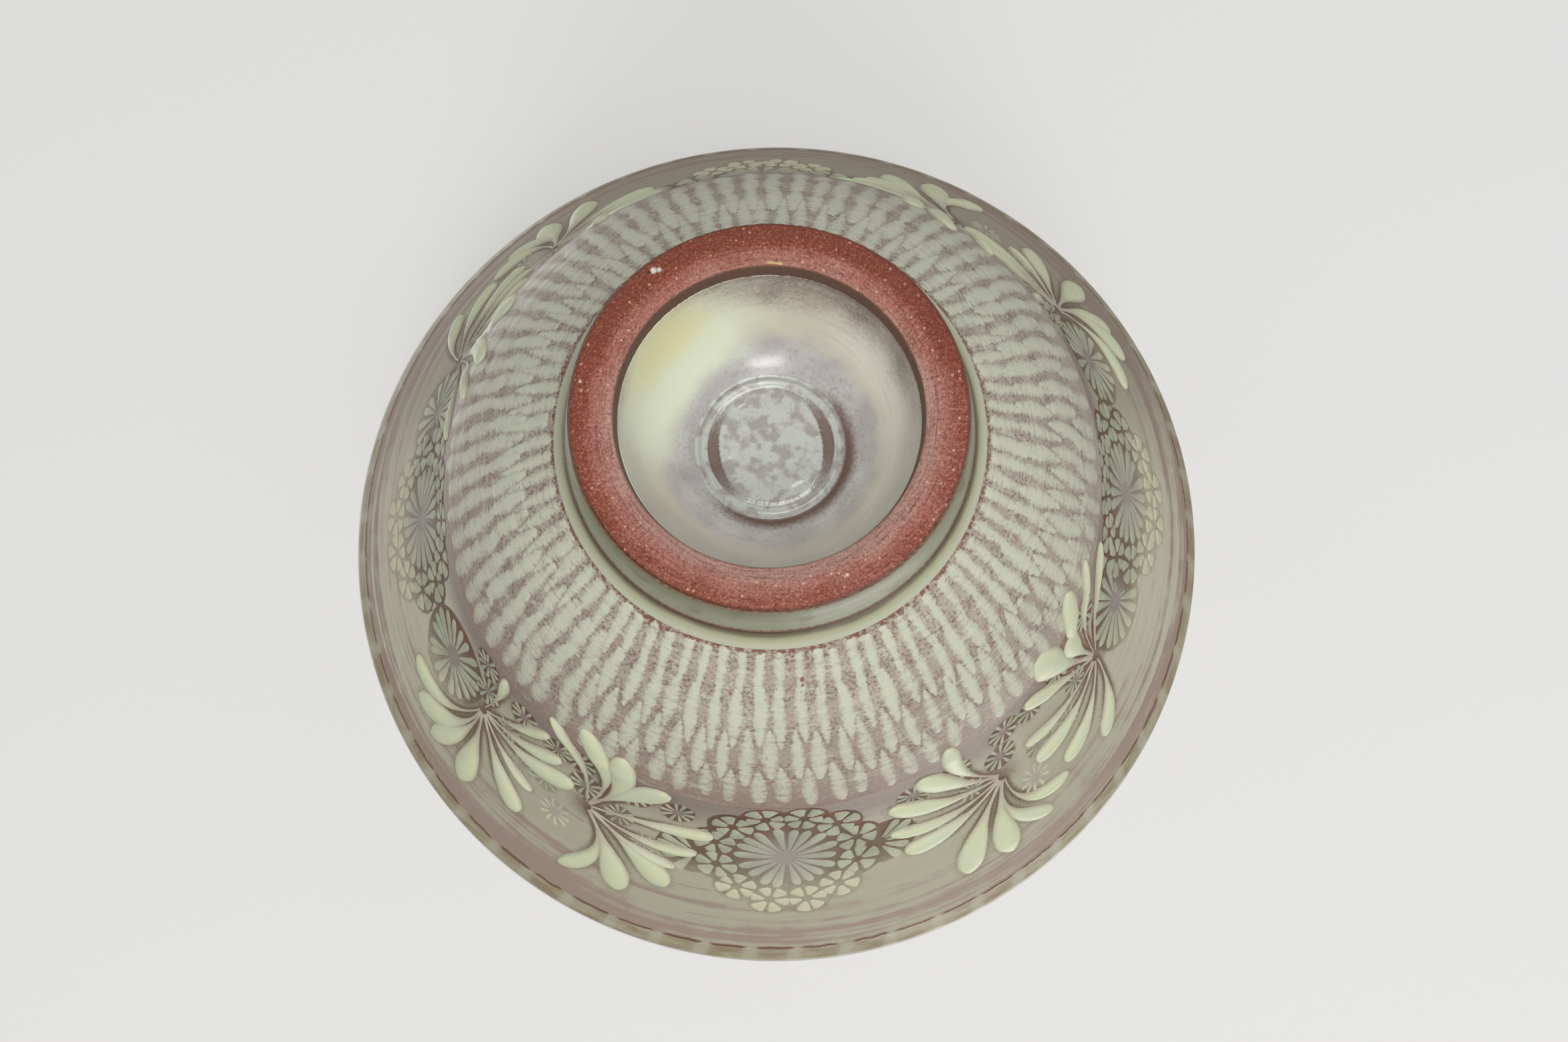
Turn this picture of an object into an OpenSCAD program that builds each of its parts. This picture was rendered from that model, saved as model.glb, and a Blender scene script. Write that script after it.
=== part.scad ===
// Small footed drinking cup of red stoneware, with slip inlay, trailed slip and a thin glaze.
// Millimetres. The origin is the middle of the foot's resting face, with +Z up to the rim.

/* [Cup] */
// Diameter across the rim
rim_d = 65; // [58:0.5:74]
// Height from the resting face to the top of the rim
height = 38.2; // [35:0.1:46]
// Thickness of the rounded lip
lip_t = 2.2; // [1.6:0.1:2.8]
// Thickness of the wall at the shoulder
wall_t = 3.2; // [2.4:0.1:4]
// Clay between the well of the foot and the floor inside
floor_t = 2.8; // [2:0.1:4]

/* [Body] */
// Diameter at the shoulder, where the strokes end
shoulder_d = 47.6; // [44:0.2:51]
// Height of the shoulder above the resting face
shoulder_z = 18.8; // [17:0.1:21]
// Slope of the body where it leaves the foot, in degrees
join_slope = 46; // [38:1:54]
// Slope of the body just under the shoulder, in degrees
shoulder_slope = 66; // [58:1:70]
// Slope of the wall just over the shoulder, in degrees
waist_slope = 78; // [72:1:84]
// Slope of the wall where it reaches the lip, in degrees
rim_slope = 63; // [57:1:69]

/* [Foot] */
// Diameter of the foot at its resting face
foot_d = 27; // [25:0.2:27.6]
// Diameter of the bore at the resting face
bore_d = 21; // [18:0.2:21.4]
// Height of the foot, up to the body
foot_h = 6.1; // [5.2:0.1:7.5]
// Diameter where the foot joins the body
join_d = 29.9; // [29:0.2:32]
// Diameter of the foot at its painted line
foot_line_d = 28; // [27.2:0.1:28.6]
// Height of the painted line on the foot
foot_line_z = 4.3; // [3:0.1:4.8]
// Width of the bevel inside the resting face
bevel_w = 1.1; // [0.6:0.1:1.8]
// Height of the bevel inside the resting face
bevel_h = 0.5; // [0.2:0.1:1]
// Chamfer on the outer edge of the resting face
foot_edge = 0.25; // [0.1:0.05:0.5]
// Height of bare clay outside the foot, under its glaze
bare_h = 0.7; // [0.6:0.1:1.5]
// Height of bare clay inside the bore, under its glaze
well_bare_h = 1.8; // [1.2:0.1:2.6]
// How far the bore narrows up to the glaze
bore_draft = 0.25; // [0.1:0.05:0.6]
// Depth of the well from the resting face
well_depth = 10; // [8.5:0.1:11]
// Bearing of the well's glaze where it starts, in degrees
well_slope = 100; // [94:1:110]
// How square the well's section is
well_fullness = 0.42; // [0.36:0.01:0.5]

/* [Pad] */
// Diameter of the pad pressed into the well
pad_d = 10.6; // [8:0.2:12]
// How far the pad's face stands out from the bottom of the well
pad_rise = 1; // [0.6:0.1:1.4]
// Height of the ring on the pad
pad_ring_h = 0.35; // [0.2:0.05:0.6]
// Width of the ring on the pad
pad_ring_w = 0.6; // [0.3:0.05:1]
// How far the ring lies inside the pad's edge
pad_ring_inset = 0.25; // [0.1:0.05:0.6]

/* [Glaze and lines] */
// Thickness of the glaze and of the inlay in it
glaze_t = 0.35; // [0.2:0.05:0.5]
// Width of the painted lines
line_w = 0.4; // [0.2:0.05:0.8]
// Height of the patterned band at the rim
rim_band_h = 2.6; // [2:0.1:3.6]

/* [Strokes] */
// Rows of strokes between the foot and the shoulder
stroke_rows = 4; // [3:1:5]
// Strokes in one row
stroke_count = 78; // [60:1:90]
// Share of the pitch that a stroke takes up at its widest
stroke_fill = 0.52; // [0.3:0.01:0.6]
// How far a row reaches into the next one
stroke_lap = 0.9; // [0.4:0.1:1.2]
// Plain margin above and below the rows
stroke_margin = 0.4; // [0.2:0.1:0.8]

/* [Flowers] */
// Flowers around the band
flower_count = 4; // [3:1:4]
// Bearing of the first flower, in degrees
flower_az = -92; // [-120:1:-60]
// Place of the flowers between shoulder and lip, from 0 to 1
flower_place = 0.36; // [0.34:0.01:0.4]
// Radius of the large flower
flower_r = 4.1; // [3.4:0.1:4.4]
// Petals of the large flower
petal_count = 16; // [12:1:20]
// Radius of the bare middle of the large flower
flower_eye_r = 0.8; // [0.5:0.1:1.2]
// Radius of the ring on which the small flowers lie
floret_ring_r = 5.6; // [5.4:0.1:6]
// Small flowers around a large one
floret_count = 10; // [8:1:11]
// Radius of a small flower
floret_r = 1.7; // [1.2:0.1:1.8]
// Petals of a small flower
floret_petals = 5; // [4:1:6]
// Radius of the bare middle of a small flower
floret_eye_r = 0.35; // [0.2:0.05:0.5]
// Angle over which the petals of a small flower fan out, in degrees
floret_fan = 250; // [200:5:300]
// Share of a flower's circle that its petals fill
petal_fill = 0.8; // [0.6:0.02:0.9]

/* [Sprays] */
// Bearing from a flower to the root of the first spray before it, in degrees
before_az = 37.6; // [34:0.1:39]
// Bearing from a flower to the root of the second spray before it, in degrees
far_before_az = 62.4; // [59:0.1:64]
// Bearing from a flower to the root of the first spray after it, in degrees
after_az = 33.5; // [31:0.1:35]
// Bearing from a flower to the root of the second spray after it, in degrees
far_after_az = 56.5; // [54:0.1:60]
// How far the trailed slip stands proud
leaf_h = 0.5; // [0.3:0.05:0.8]
// Distance from a spray's root to the tips of its leaves
leaf_root = 1.2; // [0.8:0.1:2]
// Length of the longest leaf from the root
leaf_l = 9.6; // [7.5:0.1:9.8]
// Width of the fattest leaf
leaf_w = 1.9; // [1.2:0.1:2.2]

/* [Hidden] */
$fn = 96;

rim_r = rim_d / 2;
foot_r = foot_d / 2;
bore_r = bore_d / 2;
pad_r = pad_d / 2;
pad_depth = well_depth - pad_rise;
lip_r = lip_t / 2;
floor_z = well_depth + floor_t + 2 * glaze_t;
lip_line_top = height - rim_band_h;
lip_line_foot = lip_line_top - line_w;

// Straight pieces that stand in for each curve of the section
foot_steps = 5;
body_steps = 5;
band_steps = 6;
lip_steps = 4;
lining_steps = 8;
floor_steps = 14;
well_steps = 14;
// Step along the band that finds its slope
nudge = 0.01;
// How far a pattern's blocks reach in and out of the wall
block_in = 4;
block_out = 3;
// A petal's widest place and the width of its end, as shares of its length and width
petal_wide = 0.82;
petal_end = 0.35;
// Where a stroke's straight sides begin and end, as shares of its length
stroke_sides = [0.4, 0.75];
// A leaf's tail: its place as a share of the length, its half width as a share of the width
leaf_tail = [0.4, 0.2];
// A leaf's round end: distances from the end and half widths, as shares of the width
leaf_end = [[0.9, 0.45], [0.45, 0.5], [0.12, 0.3], [0, 0]];

// Leaves of a spray: bearing from the sweep towards the lip, share of leaf_l, share of leaf_w
leaves = [
    [-114, 0.88, 0.55], [-92, 1.00, 0.95], [-68, 0.90, 1.00], [-44, 0.86, 1.00],
    [-21, 0.94, 0.85], [-2, 0.97, 0.55], [14, 0.95, 0.60], [38, 0.90, 0.90],
    [59, 0.82, 1.00], [80, 0.74, 0.95], [101, 0.70, 0.70], [121, 0.70, 0.60]
];

// Points that set the section: where the curves of the wall begin and end
join = [join_d / 2, foot_h];
shoulder = [shoulder_d / 2, shoulder_z];
lip_middle = [rim_r - lip_r, height - lip_r];
lip_out = lip_middle + lip_r * dir(rim_slope - 90);
lip_in = lip_middle + lip_r * dir(rim_slope + 90);
shoulder_in = shoulder + wall_t * dir(waist_slope + 90);

function dir(a) = [cos(a), sin(a)];
function reverse(list) = [for (i = [len(list) - 1 : -1 : 0]) list[i]];
function tail(list) = [for (i = [1 : len(list) - 1]) list[i]];
function part(list, first, last) = [for (i = [first : last]) list[i]];

// Point at t on a curve from p, leaving at bearing a, to q, arriving at bearing b
function curve_at(p, a, q, b, t, reach = 1 / 3) =
    let (h = reach * norm(q - p), c = p + h * dir(a), d = q - h * dir(b), u = 1 - t)
    u * u * u * p + 3 * u * u * t * c + 3 * u * t * t * d + t * t * t * q;
function curve(p, a, q, b, steps, reach = 1 / 3) =
    [for (i = [0 : steps]) curve_at(p, a, q, b, i / steps, reach)];
function arc(middle, r, from, to, steps) =
    [for (i = [0 : steps]) middle + r * dir(from + (to - from) * i / steps)];

// A line moved sideways, to its right if the distance is positive; its ends run along a and b
function shifted(line, distance, a, b) = [
    for (i = [0 : len(line) - 1])
        let (
            t = i == 0 ? dir(a)
                : i == len(line) - 1 ? dir(b)
                : (line[i + 1] - line[i - 1]) / norm(line[i + 1] - line[i - 1])
        )
        line[i] + distance * [t[1], -t[0]]
];

// The glazed surface, from the foot's bare edge over the rim to the middle of the floor
foot_slope = atan2(foot_line_z - foot_edge, foot_line_d / 2 - foot_r);
foot_bare = [foot_r + (bare_h - foot_edge) / tan(foot_slope), bare_h];
foot_waist = [foot_line_d / 2, foot_line_z];
outside = concat(
    [foot_bare],
    curve(foot_waist, foot_slope, join, join_slope, foot_steps),
    tail(curve(join, join_slope, shoulder, shoulder_slope, body_steps)),
    tail(curve(shoulder, waist_slope, lip_out, rim_slope, band_steps)),
    tail(arc(lip_middle, lip_r, rim_slope - 90, 0, lip_steps / 2)),
    tail(arc(lip_middle, lip_r, 0, 90, lip_steps))
);
surface = concat(
    outside,
    tail(arc(lip_middle, lip_r, 90, rim_slope + 90, lip_steps)),
    tail(curve(lip_in, rim_slope + 180, shoulder_in, waist_slope + 180, lining_steps)),
    tail(curve(shoulder_in, waist_slope + 180, [0, floor_z], 180, floor_steps))
);
apex = len(outside) - 1;
end = len(surface) - 1;
clay_surface = shifted(surface, -glaze_t, foot_slope, 180);
relief_surface = shifted(outside, leaf_h, foot_slope, 180);

// The glazed surface of the well, from its bare edge to its middle
well_edge = [bore_r - bore_draft, well_bare_h];
well = curve(well_edge, well_slope, [0, well_depth], 180, well_steps, well_fullness);
well_clay = shifted(well, glaze_t, well_slope, 180);

clay_section = concat(
    [
        [bore_r, bevel_h],
        [bore_r + bevel_w, 0],
        [foot_r - foot_edge, 0],
        [foot_r, foot_edge],
        foot_bare
    ],
    clay_surface,
    reverse(well_clay),
    [well_edge]
);
skin_section = concat(outside, reverse(part(clay_surface, 0, apex)));
lining_section = concat(part(surface, apex, end), reverse(part(clay_surface, apex, end)));

// Keeps the part of a section that lies between two heights
module between(low, high) {
    intersection() {
        children();
        translate([0, low])
            square([rim_d, high - low]);
    }
}

// The glaze layer outside the wall, between two heights
module skin(low, high) {
    rotate_extrude()
        between(low, high)
            polygon(skin_section);
}

// Puts its children on the band, x along it, y up to the lip and z out of the wall
module on_band(az) {
    p = curve_at(shoulder, waist_slope, lip_out, rim_slope, flower_place);
    ahead = curve_at(shoulder, waist_slope, lip_out, rim_slope, flower_place + nudge);
    slope = atan2(ahead[1] - p[1], ahead[0] - p[0]);
    rotate([0, 0, az])
        translate([p[0], 0, p[1]])
            multmatrix([
                [0, cos(slope), sin(slope), 0],
                [1, 0, 0, 0],
                [0, sin(slope), -cos(slope), 0],
                [0, 0, 0, 1]
            ])
                children();
}

// A block through the wall, with the outline of its children
module through_wall() {
    translate([0, 0, -block_in])
        linear_extrude(block_in + block_out)
            children();
}

// A petal from r0 to r1, as wide as the angle spread
module petal(r0, r1, spread) {
    half = spread / 2;
    polygon([
        [r0, 0],
        petal_wide * r1 * dir(-half),
        r1 * dir(-petal_end * half),
        r1 * dir(petal_end * half),
        petal_wide * r1 * dir(half)
    ]);
}

// The outlines of the stamped flower, with small flowers fanned out around it
module flower_outlines() {
    pitch = 360 / petal_count;
    for (i = [0 : petal_count - 1])
        rotate(i * pitch)
            petal(flower_eye_r, flower_r, petal_fill * pitch);
    fan = floret_fan / floret_petals;
    for (j = [0 : floret_count - 1])
        rotate(j * 360 / floret_count)
            translate([floret_ring_r, 0])
                for (k = [0 : floret_petals - 1])
                    rotate((k - (floret_petals - 1) / 2) * fan)
                        petal(floret_eye_r, floret_r, petal_fill * fan);
}

module flower_blocks() {
    for (i = [0 : flower_count - 1])
        on_band(flower_az + i * 360 / flower_count)
            through_wall()
                flower_outlines();
}

// A stroke along the radius, drawn to a point at both ends
module stroke(r0, r1) {
    half = stroke_fill * 180 / stroke_count;
    low = r0 + stroke_sides[0] * (r1 - r0);
    high = r0 + stroke_sides[1] * (r1 - r0);
    polygon([
        [r0, 0],
        low * dir(-half),
        high * dir(-half),
        [r1, 0],
        high * dir(half),
        low * dir(half)
    ]);
}

module stroke_blocks() {
    first = join[0] + stroke_margin;
    step = (shoulder[0] - join[0] - 2 * stroke_margin - stroke_lap) / stroke_rows;
    translate([0, 0, foot_h])
        linear_extrude(shoulder_z - foot_h)
            for (row = [0 : stroke_rows - 1], i = [0 : stroke_count - 1])
                rotate((i + (row % 2) / 2) * 360 / stroke_count)
                    stroke(first + row * step, first + (row + 1) * step + stroke_lap);
}

// A teardrop along x, from its thin tip to its round end
module leaf(length, width) {
    edge = concat(
        [[leaf_root, 0], [leaf_root + leaf_tail[0] * (length - leaf_root), leaf_tail[1] * width]],
        [for (e = leaf_end) [length - e[0] * width, e[1] * width]]
    );
    far_edge = [for (p = part(edge, 1, len(edge) - 2)) [p[0], -p[1]]];
    polygon(concat(edge, reverse(far_edge)));
}

// The leaves of one spray; side is 1 or -1, the way along the band that they sweep
module spray(az, side) {
    on_band(az)
        through_wall()
            for (l = leaves)
                rotate(side > 0 ? l[0] : 180 - l[0])
                    leaf(l[1] * leaf_l, l[2] * leaf_w);
}

module clay_body() {
    color([0.45, 0.24, 0.18])
        rotate_extrude()
            between(foot_h, height)
                polygon(clay_section);
}

module foot_ring() {
    color([0.52, 0.25, 0.19])
        rotate_extrude()
            between(0, foot_h)
                polygon(clay_section);
}

module seal_pad() {
    color([0.62, 0.58, 0.53])
        rotate_extrude()
            union() {
                intersection() {
                    polygon(concat(well_clay, [[0, 0], [well_edge[0], 0]]));
                    translate([0, pad_depth])
                        square([pad_r, well_depth]);
                }
                translate([pad_r - pad_ring_inset - pad_ring_w, pad_depth - pad_ring_h])
                    square([pad_ring_w, pad_ring_h + glaze_t / 2]);
            }
}

module well_glaze() {
    color([0.70, 0.66, 0.58])
        rotate_extrude()
            difference() {
                polygon(concat(well, reverse(well_clay)));
                square([pad_r, well_depth + floor_t]);
            }
}

module foot_glaze() {
    color([0.72, 0.72, 0.60]) {
        skin(0, foot_line_z - line_w / 2);
        skin(foot_line_z + line_w / 2, foot_h);
    }
}

module foot_line() {
    color([0.25, 0.17, 0.12])
        skin(foot_line_z - line_w / 2, foot_line_z + line_w / 2);
}

module body_glaze() {
    color([0.58, 0.50, 0.47])
        difference() {
            skin(foot_h, shoulder_z);
            stroke_blocks();
        }
}

module stroke_inlay() {
    color([0.77, 0.79, 0.70])
        intersection() {
            skin(foot_h, shoulder_z);
            stroke_blocks();
        }
}

module band_glaze() {
    color([0.55, 0.47, 0.43])
        difference() {
            skin(shoulder_z, lip_line_foot);
            flower_blocks();
        }
}

module flower_inlay() {
    color([0.76, 0.78, 0.68])
        intersection() {
            skin(shoulder_z, lip_line_foot);
            flower_blocks();
        }
}

module slip_sprays() {
    color([0.82, 0.84, 0.66])
        intersection() {
            rotate_extrude()
                between(foot_h, lip_line_foot)
                    polygon(concat(relief_surface, reverse(outside)));
            for (flower = [0, 180]) {
                for (az = [before_az, far_before_az])
                    spray(flower_az + flower - az, 1);
                for (az = [after_az, far_after_az])
                    spray(flower_az + flower + az, -1);
            }
        }
}

module lip_line() {
    color([0.40, 0.20, 0.16])
        skin(lip_line_foot, lip_line_top);
}

module rim_band() {
    color([0.60, 0.55, 0.44])
        skin(lip_line_top, height);
}

module inner_glaze() {
    color([0.74, 0.72, 0.66])
        rotate_extrude()
            polygon(lining_section);
}

clay_body();
foot_ring();
seal_pad();
well_glaze();
foot_glaze();
foot_line();
body_glaze();
stroke_inlay();
band_glaze();
flower_inlay();
slip_sprays();
lip_line();
rim_band();
inner_glaze();
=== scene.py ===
"""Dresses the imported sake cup: turned clay, thin glaze, slip strokes, stamped flowers and trailed slip.

Lengths are millimetres and bearings radians unless a name says otherwise. Meshes are written in metres.
A place on the wall is (s, az): s runs along the cup's section and az is the bearing round its axis.
Colours are as seen on screen, 0 to 255.
"""
from functools import reduce

import bpy
import numpy as np
from mathutils import Matrix, Vector


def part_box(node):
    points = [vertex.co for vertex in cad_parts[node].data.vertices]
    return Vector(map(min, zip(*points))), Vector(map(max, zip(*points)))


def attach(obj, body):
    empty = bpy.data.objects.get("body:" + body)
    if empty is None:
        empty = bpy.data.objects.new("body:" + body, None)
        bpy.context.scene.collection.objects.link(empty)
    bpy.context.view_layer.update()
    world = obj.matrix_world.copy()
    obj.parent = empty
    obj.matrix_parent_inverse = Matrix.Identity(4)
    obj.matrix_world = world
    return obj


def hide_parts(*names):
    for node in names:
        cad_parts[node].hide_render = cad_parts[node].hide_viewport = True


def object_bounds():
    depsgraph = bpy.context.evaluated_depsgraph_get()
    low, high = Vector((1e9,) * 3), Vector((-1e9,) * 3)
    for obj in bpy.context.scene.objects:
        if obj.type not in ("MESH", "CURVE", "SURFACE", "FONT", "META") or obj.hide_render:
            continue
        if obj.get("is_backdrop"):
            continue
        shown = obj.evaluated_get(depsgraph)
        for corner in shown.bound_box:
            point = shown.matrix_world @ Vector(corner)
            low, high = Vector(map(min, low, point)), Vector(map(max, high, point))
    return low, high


MM = 0.001
TURN = 2 * np.pi

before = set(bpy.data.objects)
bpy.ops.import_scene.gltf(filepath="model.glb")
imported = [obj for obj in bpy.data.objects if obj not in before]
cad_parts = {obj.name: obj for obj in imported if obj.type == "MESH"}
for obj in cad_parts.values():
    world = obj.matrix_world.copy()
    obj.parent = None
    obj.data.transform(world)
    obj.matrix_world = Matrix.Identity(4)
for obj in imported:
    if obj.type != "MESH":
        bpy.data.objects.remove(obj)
CAD_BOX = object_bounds()


# Sizes: from the frame where it gives them, or as in the part's source

def low(node):
    return np.array(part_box(node)[0]) / MM


def high(node):
    return np.array(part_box(node)[1]) / MM


RIM_R, HEIGHT = high("rim_band")[[0, 2]]
JOIN = high("foot_glaze")[[0, 2]]
SHOULDER = high("body_glaze")[[0, 2]]
FOOT_LINE_Z = (low("foot_line")[2] + high("foot_line")[2]) / 2
LIP_LINE_Z = (low("lip_line")[2] + high("lip_line")[2]) / 2
PAD_R = high("seal_pad")[0]

GLAZE_T = 0.35
FLOOR_Z = low("inner_glaze")[2] + GLAZE_T
LIP_R = 1.1
WALL_T = 3.2
FOOT_R = 13.5
FOOT_LINE_R = 14.0
BORE_R = 10.5
BORE_DRAFT = 0.25
BEVEL_W, BEVEL_H = 1.1, 0.5
FOOT_EDGE = 0.25
BARE_H = 0.7
WELL_BARE_H = 1.8
WELL_DEPTH = 10.0
WELL_SLOPE, WELL_FULLNESS = 100, 0.42
PAD_RING_H, PAD_RING_W, PAD_RING_INSET = 0.35, 0.6, 0.25
PAD_Z = low("seal_pad")[2] + PAD_RING_H
JOIN_SLOPE, SHOULDER_SLOPE, WAIST_SLOPE, RIM_SLOPE = 46, 66, 78, 63

FLOWER_AZ, FLOWER_UP, FLOWER_COUNT = np.radians(-92), 7.3, 4
FLOWER_R, FLOWER_EYE_R, PETAL_COUNT = 4.0, 0.5, 18
FLORET_RING_R, FLORET_COUNT, FLORET_R, FLORET_EYE_R = 5.35, 12, 1.7, 0.28
FLORET_PETALS = 6
SIDE_FLOWER_R = 3.8
HALF_FLOWER_R, HALF_FLOWER_EYE_R, HALF_FLOWER_PETALS = 3.0, 0.45, 5
HALF_FLOWER_FAN = np.radians(132)
STAMP_LINE_W, STAMP_DEPTH = 0.17, 0.08
LEAF_H = 0.42

# How far the foot's bare face runs on under the glaze on both sides, and how far it is set back there
UNDER_WELL_GLAZE, UNDER_FOOT_GLAZE, SET_BACK = [0, 0.3], [-0.02, 0.4], [0.05, 0]
# How far the edges of lines and inlays lie below the glaze round them
SINK = 0.02
# Depths behind the faces of the pieces, and the rows of points that close a round one
SKIN_T, INLAY_T, LINE_T, PAD_T = 0.3, 0.2, 0.1, 0.6
BACK_ROWS, WIDE_BACK_ROWS, LINE_BACK_ROWS = 12, 5, 2


# The cup's section

def heading(degrees):
    return np.array([np.cos(np.radians(degrees)), np.sin(np.radians(degrees))])


def curve(p, a, q, b, steps=160, reach=1 / 3):
    """Points from p, leaving at bearing a, to q, arriving at bearing b, in degrees."""
    p, q = np.array(p, float), np.array(q, float)
    arm = reach * np.linalg.norm(q - p)
    leave, arrive = p + arm * heading(a), q - arm * heading(b)
    t = np.linspace(0, 1, steps + 1)[:, None]
    u = 1 - t
    return u**3 * p + 3 * u * u * t * leave + 3 * u * t * t * arrive + t**3 * q


def arc(middle, r, start, end, steps=24):
    return np.array([middle + r * heading(a) for a in np.linspace(start, end, steps + 1)])


def spun(r, az, z):
    """Points from cylinder coordinates."""
    return np.stack(np.broadcast_arrays(r * np.cos(az), r * np.sin(az), z), -1)


def joined(*runs):
    return np.concatenate([runs[0]] + [run[1:] for run in runs[1:]])


def softened(points, step=0.03, blur=0.12):
    """The line through the points, evenly spaced, with its corners rounded off."""
    points = np.array(points, float)
    s = np.concatenate([[0], np.cumsum(np.linalg.norm(np.diff(points, axis=0), axis=1))])
    even = np.linspace(0, s[-1], int(s[-1] / step) + 1)
    line = np.stack([np.interp(even, s, points[:, k]) for k in (0, 1)], 1)
    reach = int(3 * blur / step)
    kernel = np.exp(-0.5 * (np.arange(-reach, reach + 1) * step / blur) ** 2)
    kernel /= kernel.sum()
    start = 2 * line[0] - line[reach:0:-1]
    end = 2 * line[-1] - line[-2:-reach - 2:-1]
    padded = np.concatenate([start, line, end])
    return np.stack([np.convolve(padded[:, k], kernel, "valid") for k in (0, 1)], 1)


class Line:
    """A section line of points (r, z), read by the distance s along it. Its surface faces to the right."""

    def __init__(self, points):
        self.points = np.array(points)
        steps = np.linalg.norm(np.diff(self.points, axis=0), axis=1)
        self.s = np.concatenate([[0], np.cumsum(steps)])
        along = np.gradient(self.points, self.s, axis=0)
        along /= np.linalg.norm(along, axis=1)[:, None]
        self.normals = np.stack([along[:, 1], -along[:, 0]], 1)
        self.length = self.s[-1]

    def r(self, s):
        return np.interp(s, self.s, self.points[:, 0])

    def z(self, s):
        return np.interp(s, self.s, self.points[:, 1])

    def s_at_height(self, z):
        return np.interp(z, self.points[:, 1], self.s)

    def place(self, s, az, lift=0.0):
        r = self.r(s) + lift * np.interp(s, self.s, self.normals[:, 0])
        z = self.z(s) + lift * np.interp(s, self.s, self.normals[:, 1])
        return spun(r, az, z)


foot_waist = np.array([FOOT_LINE_R, FOOT_LINE_Z])
foot_slope = np.degrees(np.arctan2(FOOT_LINE_Z - FOOT_EDGE, FOOT_LINE_R - FOOT_R))
foot_bare = np.array([FOOT_R + (BARE_H - FOOT_EDGE) / np.tan(np.radians(foot_slope)), BARE_H])
lip_middle = np.array([RIM_R - LIP_R, HEIGHT - LIP_R])
lip_out = lip_middle + LIP_R * heading(RIM_SLOPE - 90)
lip_in = lip_middle + LIP_R * heading(RIM_SLOPE + 90)
shoulder_in = SHOULDER + WALL_T * heading(WAIST_SLOPE + 90)
well_edge = np.array([BORE_R - BORE_DRAFT, WELL_BARE_H])

OUTSIDE = Line(joined(
    np.linspace(foot_bare, foot_waist, 40),
    curve(foot_waist, foot_slope, JOIN, JOIN_SLOPE),
    curve(JOIN, JOIN_SLOPE, SHOULDER, SHOULDER_SLOPE),
    curve(SHOULDER, WAIST_SLOPE, lip_out, RIM_SLOPE),
    arc(lip_middle, LIP_R, RIM_SLOPE - 90, 90),
))
LINING = Line(joined(
    arc(lip_middle, LIP_R, 90, RIM_SLOPE + 90),
    curve(lip_in, RIM_SLOPE + 180, shoulder_in, WAIST_SLOPE + 180),
    curve(shoulder_in, WAIST_SLOPE + 180, [0, FLOOR_Z], 180),
))
WELL = Line(curve(well_edge, WELL_SLOPE, [0, WELL_DEPTH], 180, reach=WELL_FULLNESS)[::-1])
FOOT_FACE = Line(softened([
    well_edge + UNDER_WELL_GLAZE,
    well_edge,
    [BORE_R, BEVEL_H],
    [BORE_R + BEVEL_W, 0],
    [FOOT_R - FOOT_EDGE, 0],
    [FOOT_R, FOOT_EDGE],
    foot_bare - SET_BACK,
    foot_bare + UNDER_FOOT_GLAZE,
]))

S_FOOT_LINE = OUTSIDE.s_at_height(FOOT_LINE_Z)
S_JOIN = OUTSIDE.s_at_height(JOIN[1])
S_SHOULDER = OUTSIDE.s_at_height(SHOULDER[1])
S_FLOWER = S_SHOULDER + FLOWER_UP
S_LIP_LINE = OUTSIDE.s_at_height(LIP_LINE_Z)
S_RIM = OUTSIDE.length


# Fields over the wall, and hand-made unevenness

def smooth(x, start, end):
    """0 at start, 1 at end and eased between; start may be the larger."""
    t = np.clip((x - start) / (end - start), 0, 1)
    return t * t * (3 - 2 * t)


def bell(x, width):
    """1 where x is 0, falling off on both sides."""
    return np.exp(-((x / width) ** 2))


def most(fields):
    """The largest of several fields, place by place, and at least 0."""
    return reduce(np.maximum, fields, 0.0)


def wrapped(angle):
    return (angle + np.pi) % TURN - np.pi


def turns(count, offset=0.0):
    """Bearings spaced evenly all round."""
    return TURN * (np.arange(count) + offset) / count


class Ripple:
    """Smooth noise about -1 to 1: waves of so many lobes round the cup and such lengths along s."""

    def __init__(self, seed, lobes, lengths, terms):
        draw = np.random.default_rng(seed)
        self.lobes = draw.integers(lobes[0], lobes[1] + 1, terms)
        self.pace = TURN / draw.uniform(lengths[0], lengths[1], terms) * draw.choice([-1, 1], terms)
        self.phase = draw.uniform(0, TURN, terms)

    def __call__(self, az, s=0.0):
        waves = zip(self.lobes, self.pace, self.phase)
        total = sum(np.cos(lobes * az + pace * s + phase) for lobes, pace, phase in waves)
        return total / np.sqrt(2 * len(self.lobes))


SWELL = Ripple(11, (1, 5), (25, 60), 10)
THROW = Ripple(12, (0, 2), (1.1, 3.2), 16)
RAGGED = Ripple(13, (15, 160), (2, 6), 40)
CRUMBLE = Ripple(14, (60, 420), (0.4, 2), 50)
SWELL_H, THROW_H = 0.05, 0.018


def unevenness(s, az):
    """The height of the slow swells and the throwing marks that all layers share."""
    return SWELL_H * SWELL(az, s) + THROW_H * THROW(az, s)


def wall(s, az, lift=0.0):
    """A place on the outside of the cup, lifted off its section."""
    return OUTSIDE.place(s, az, lift + unevenness(s, az))


# Materials

def tint(r, g, b):
    """A colour as the shader wants it."""
    c = np.array([r, g, b]) / 255
    linear = np.where(c <= 0.04045, c / 12.92, ((c + 0.055) / 1.055) ** 2.4)
    return (*linear, 1.0)


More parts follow.
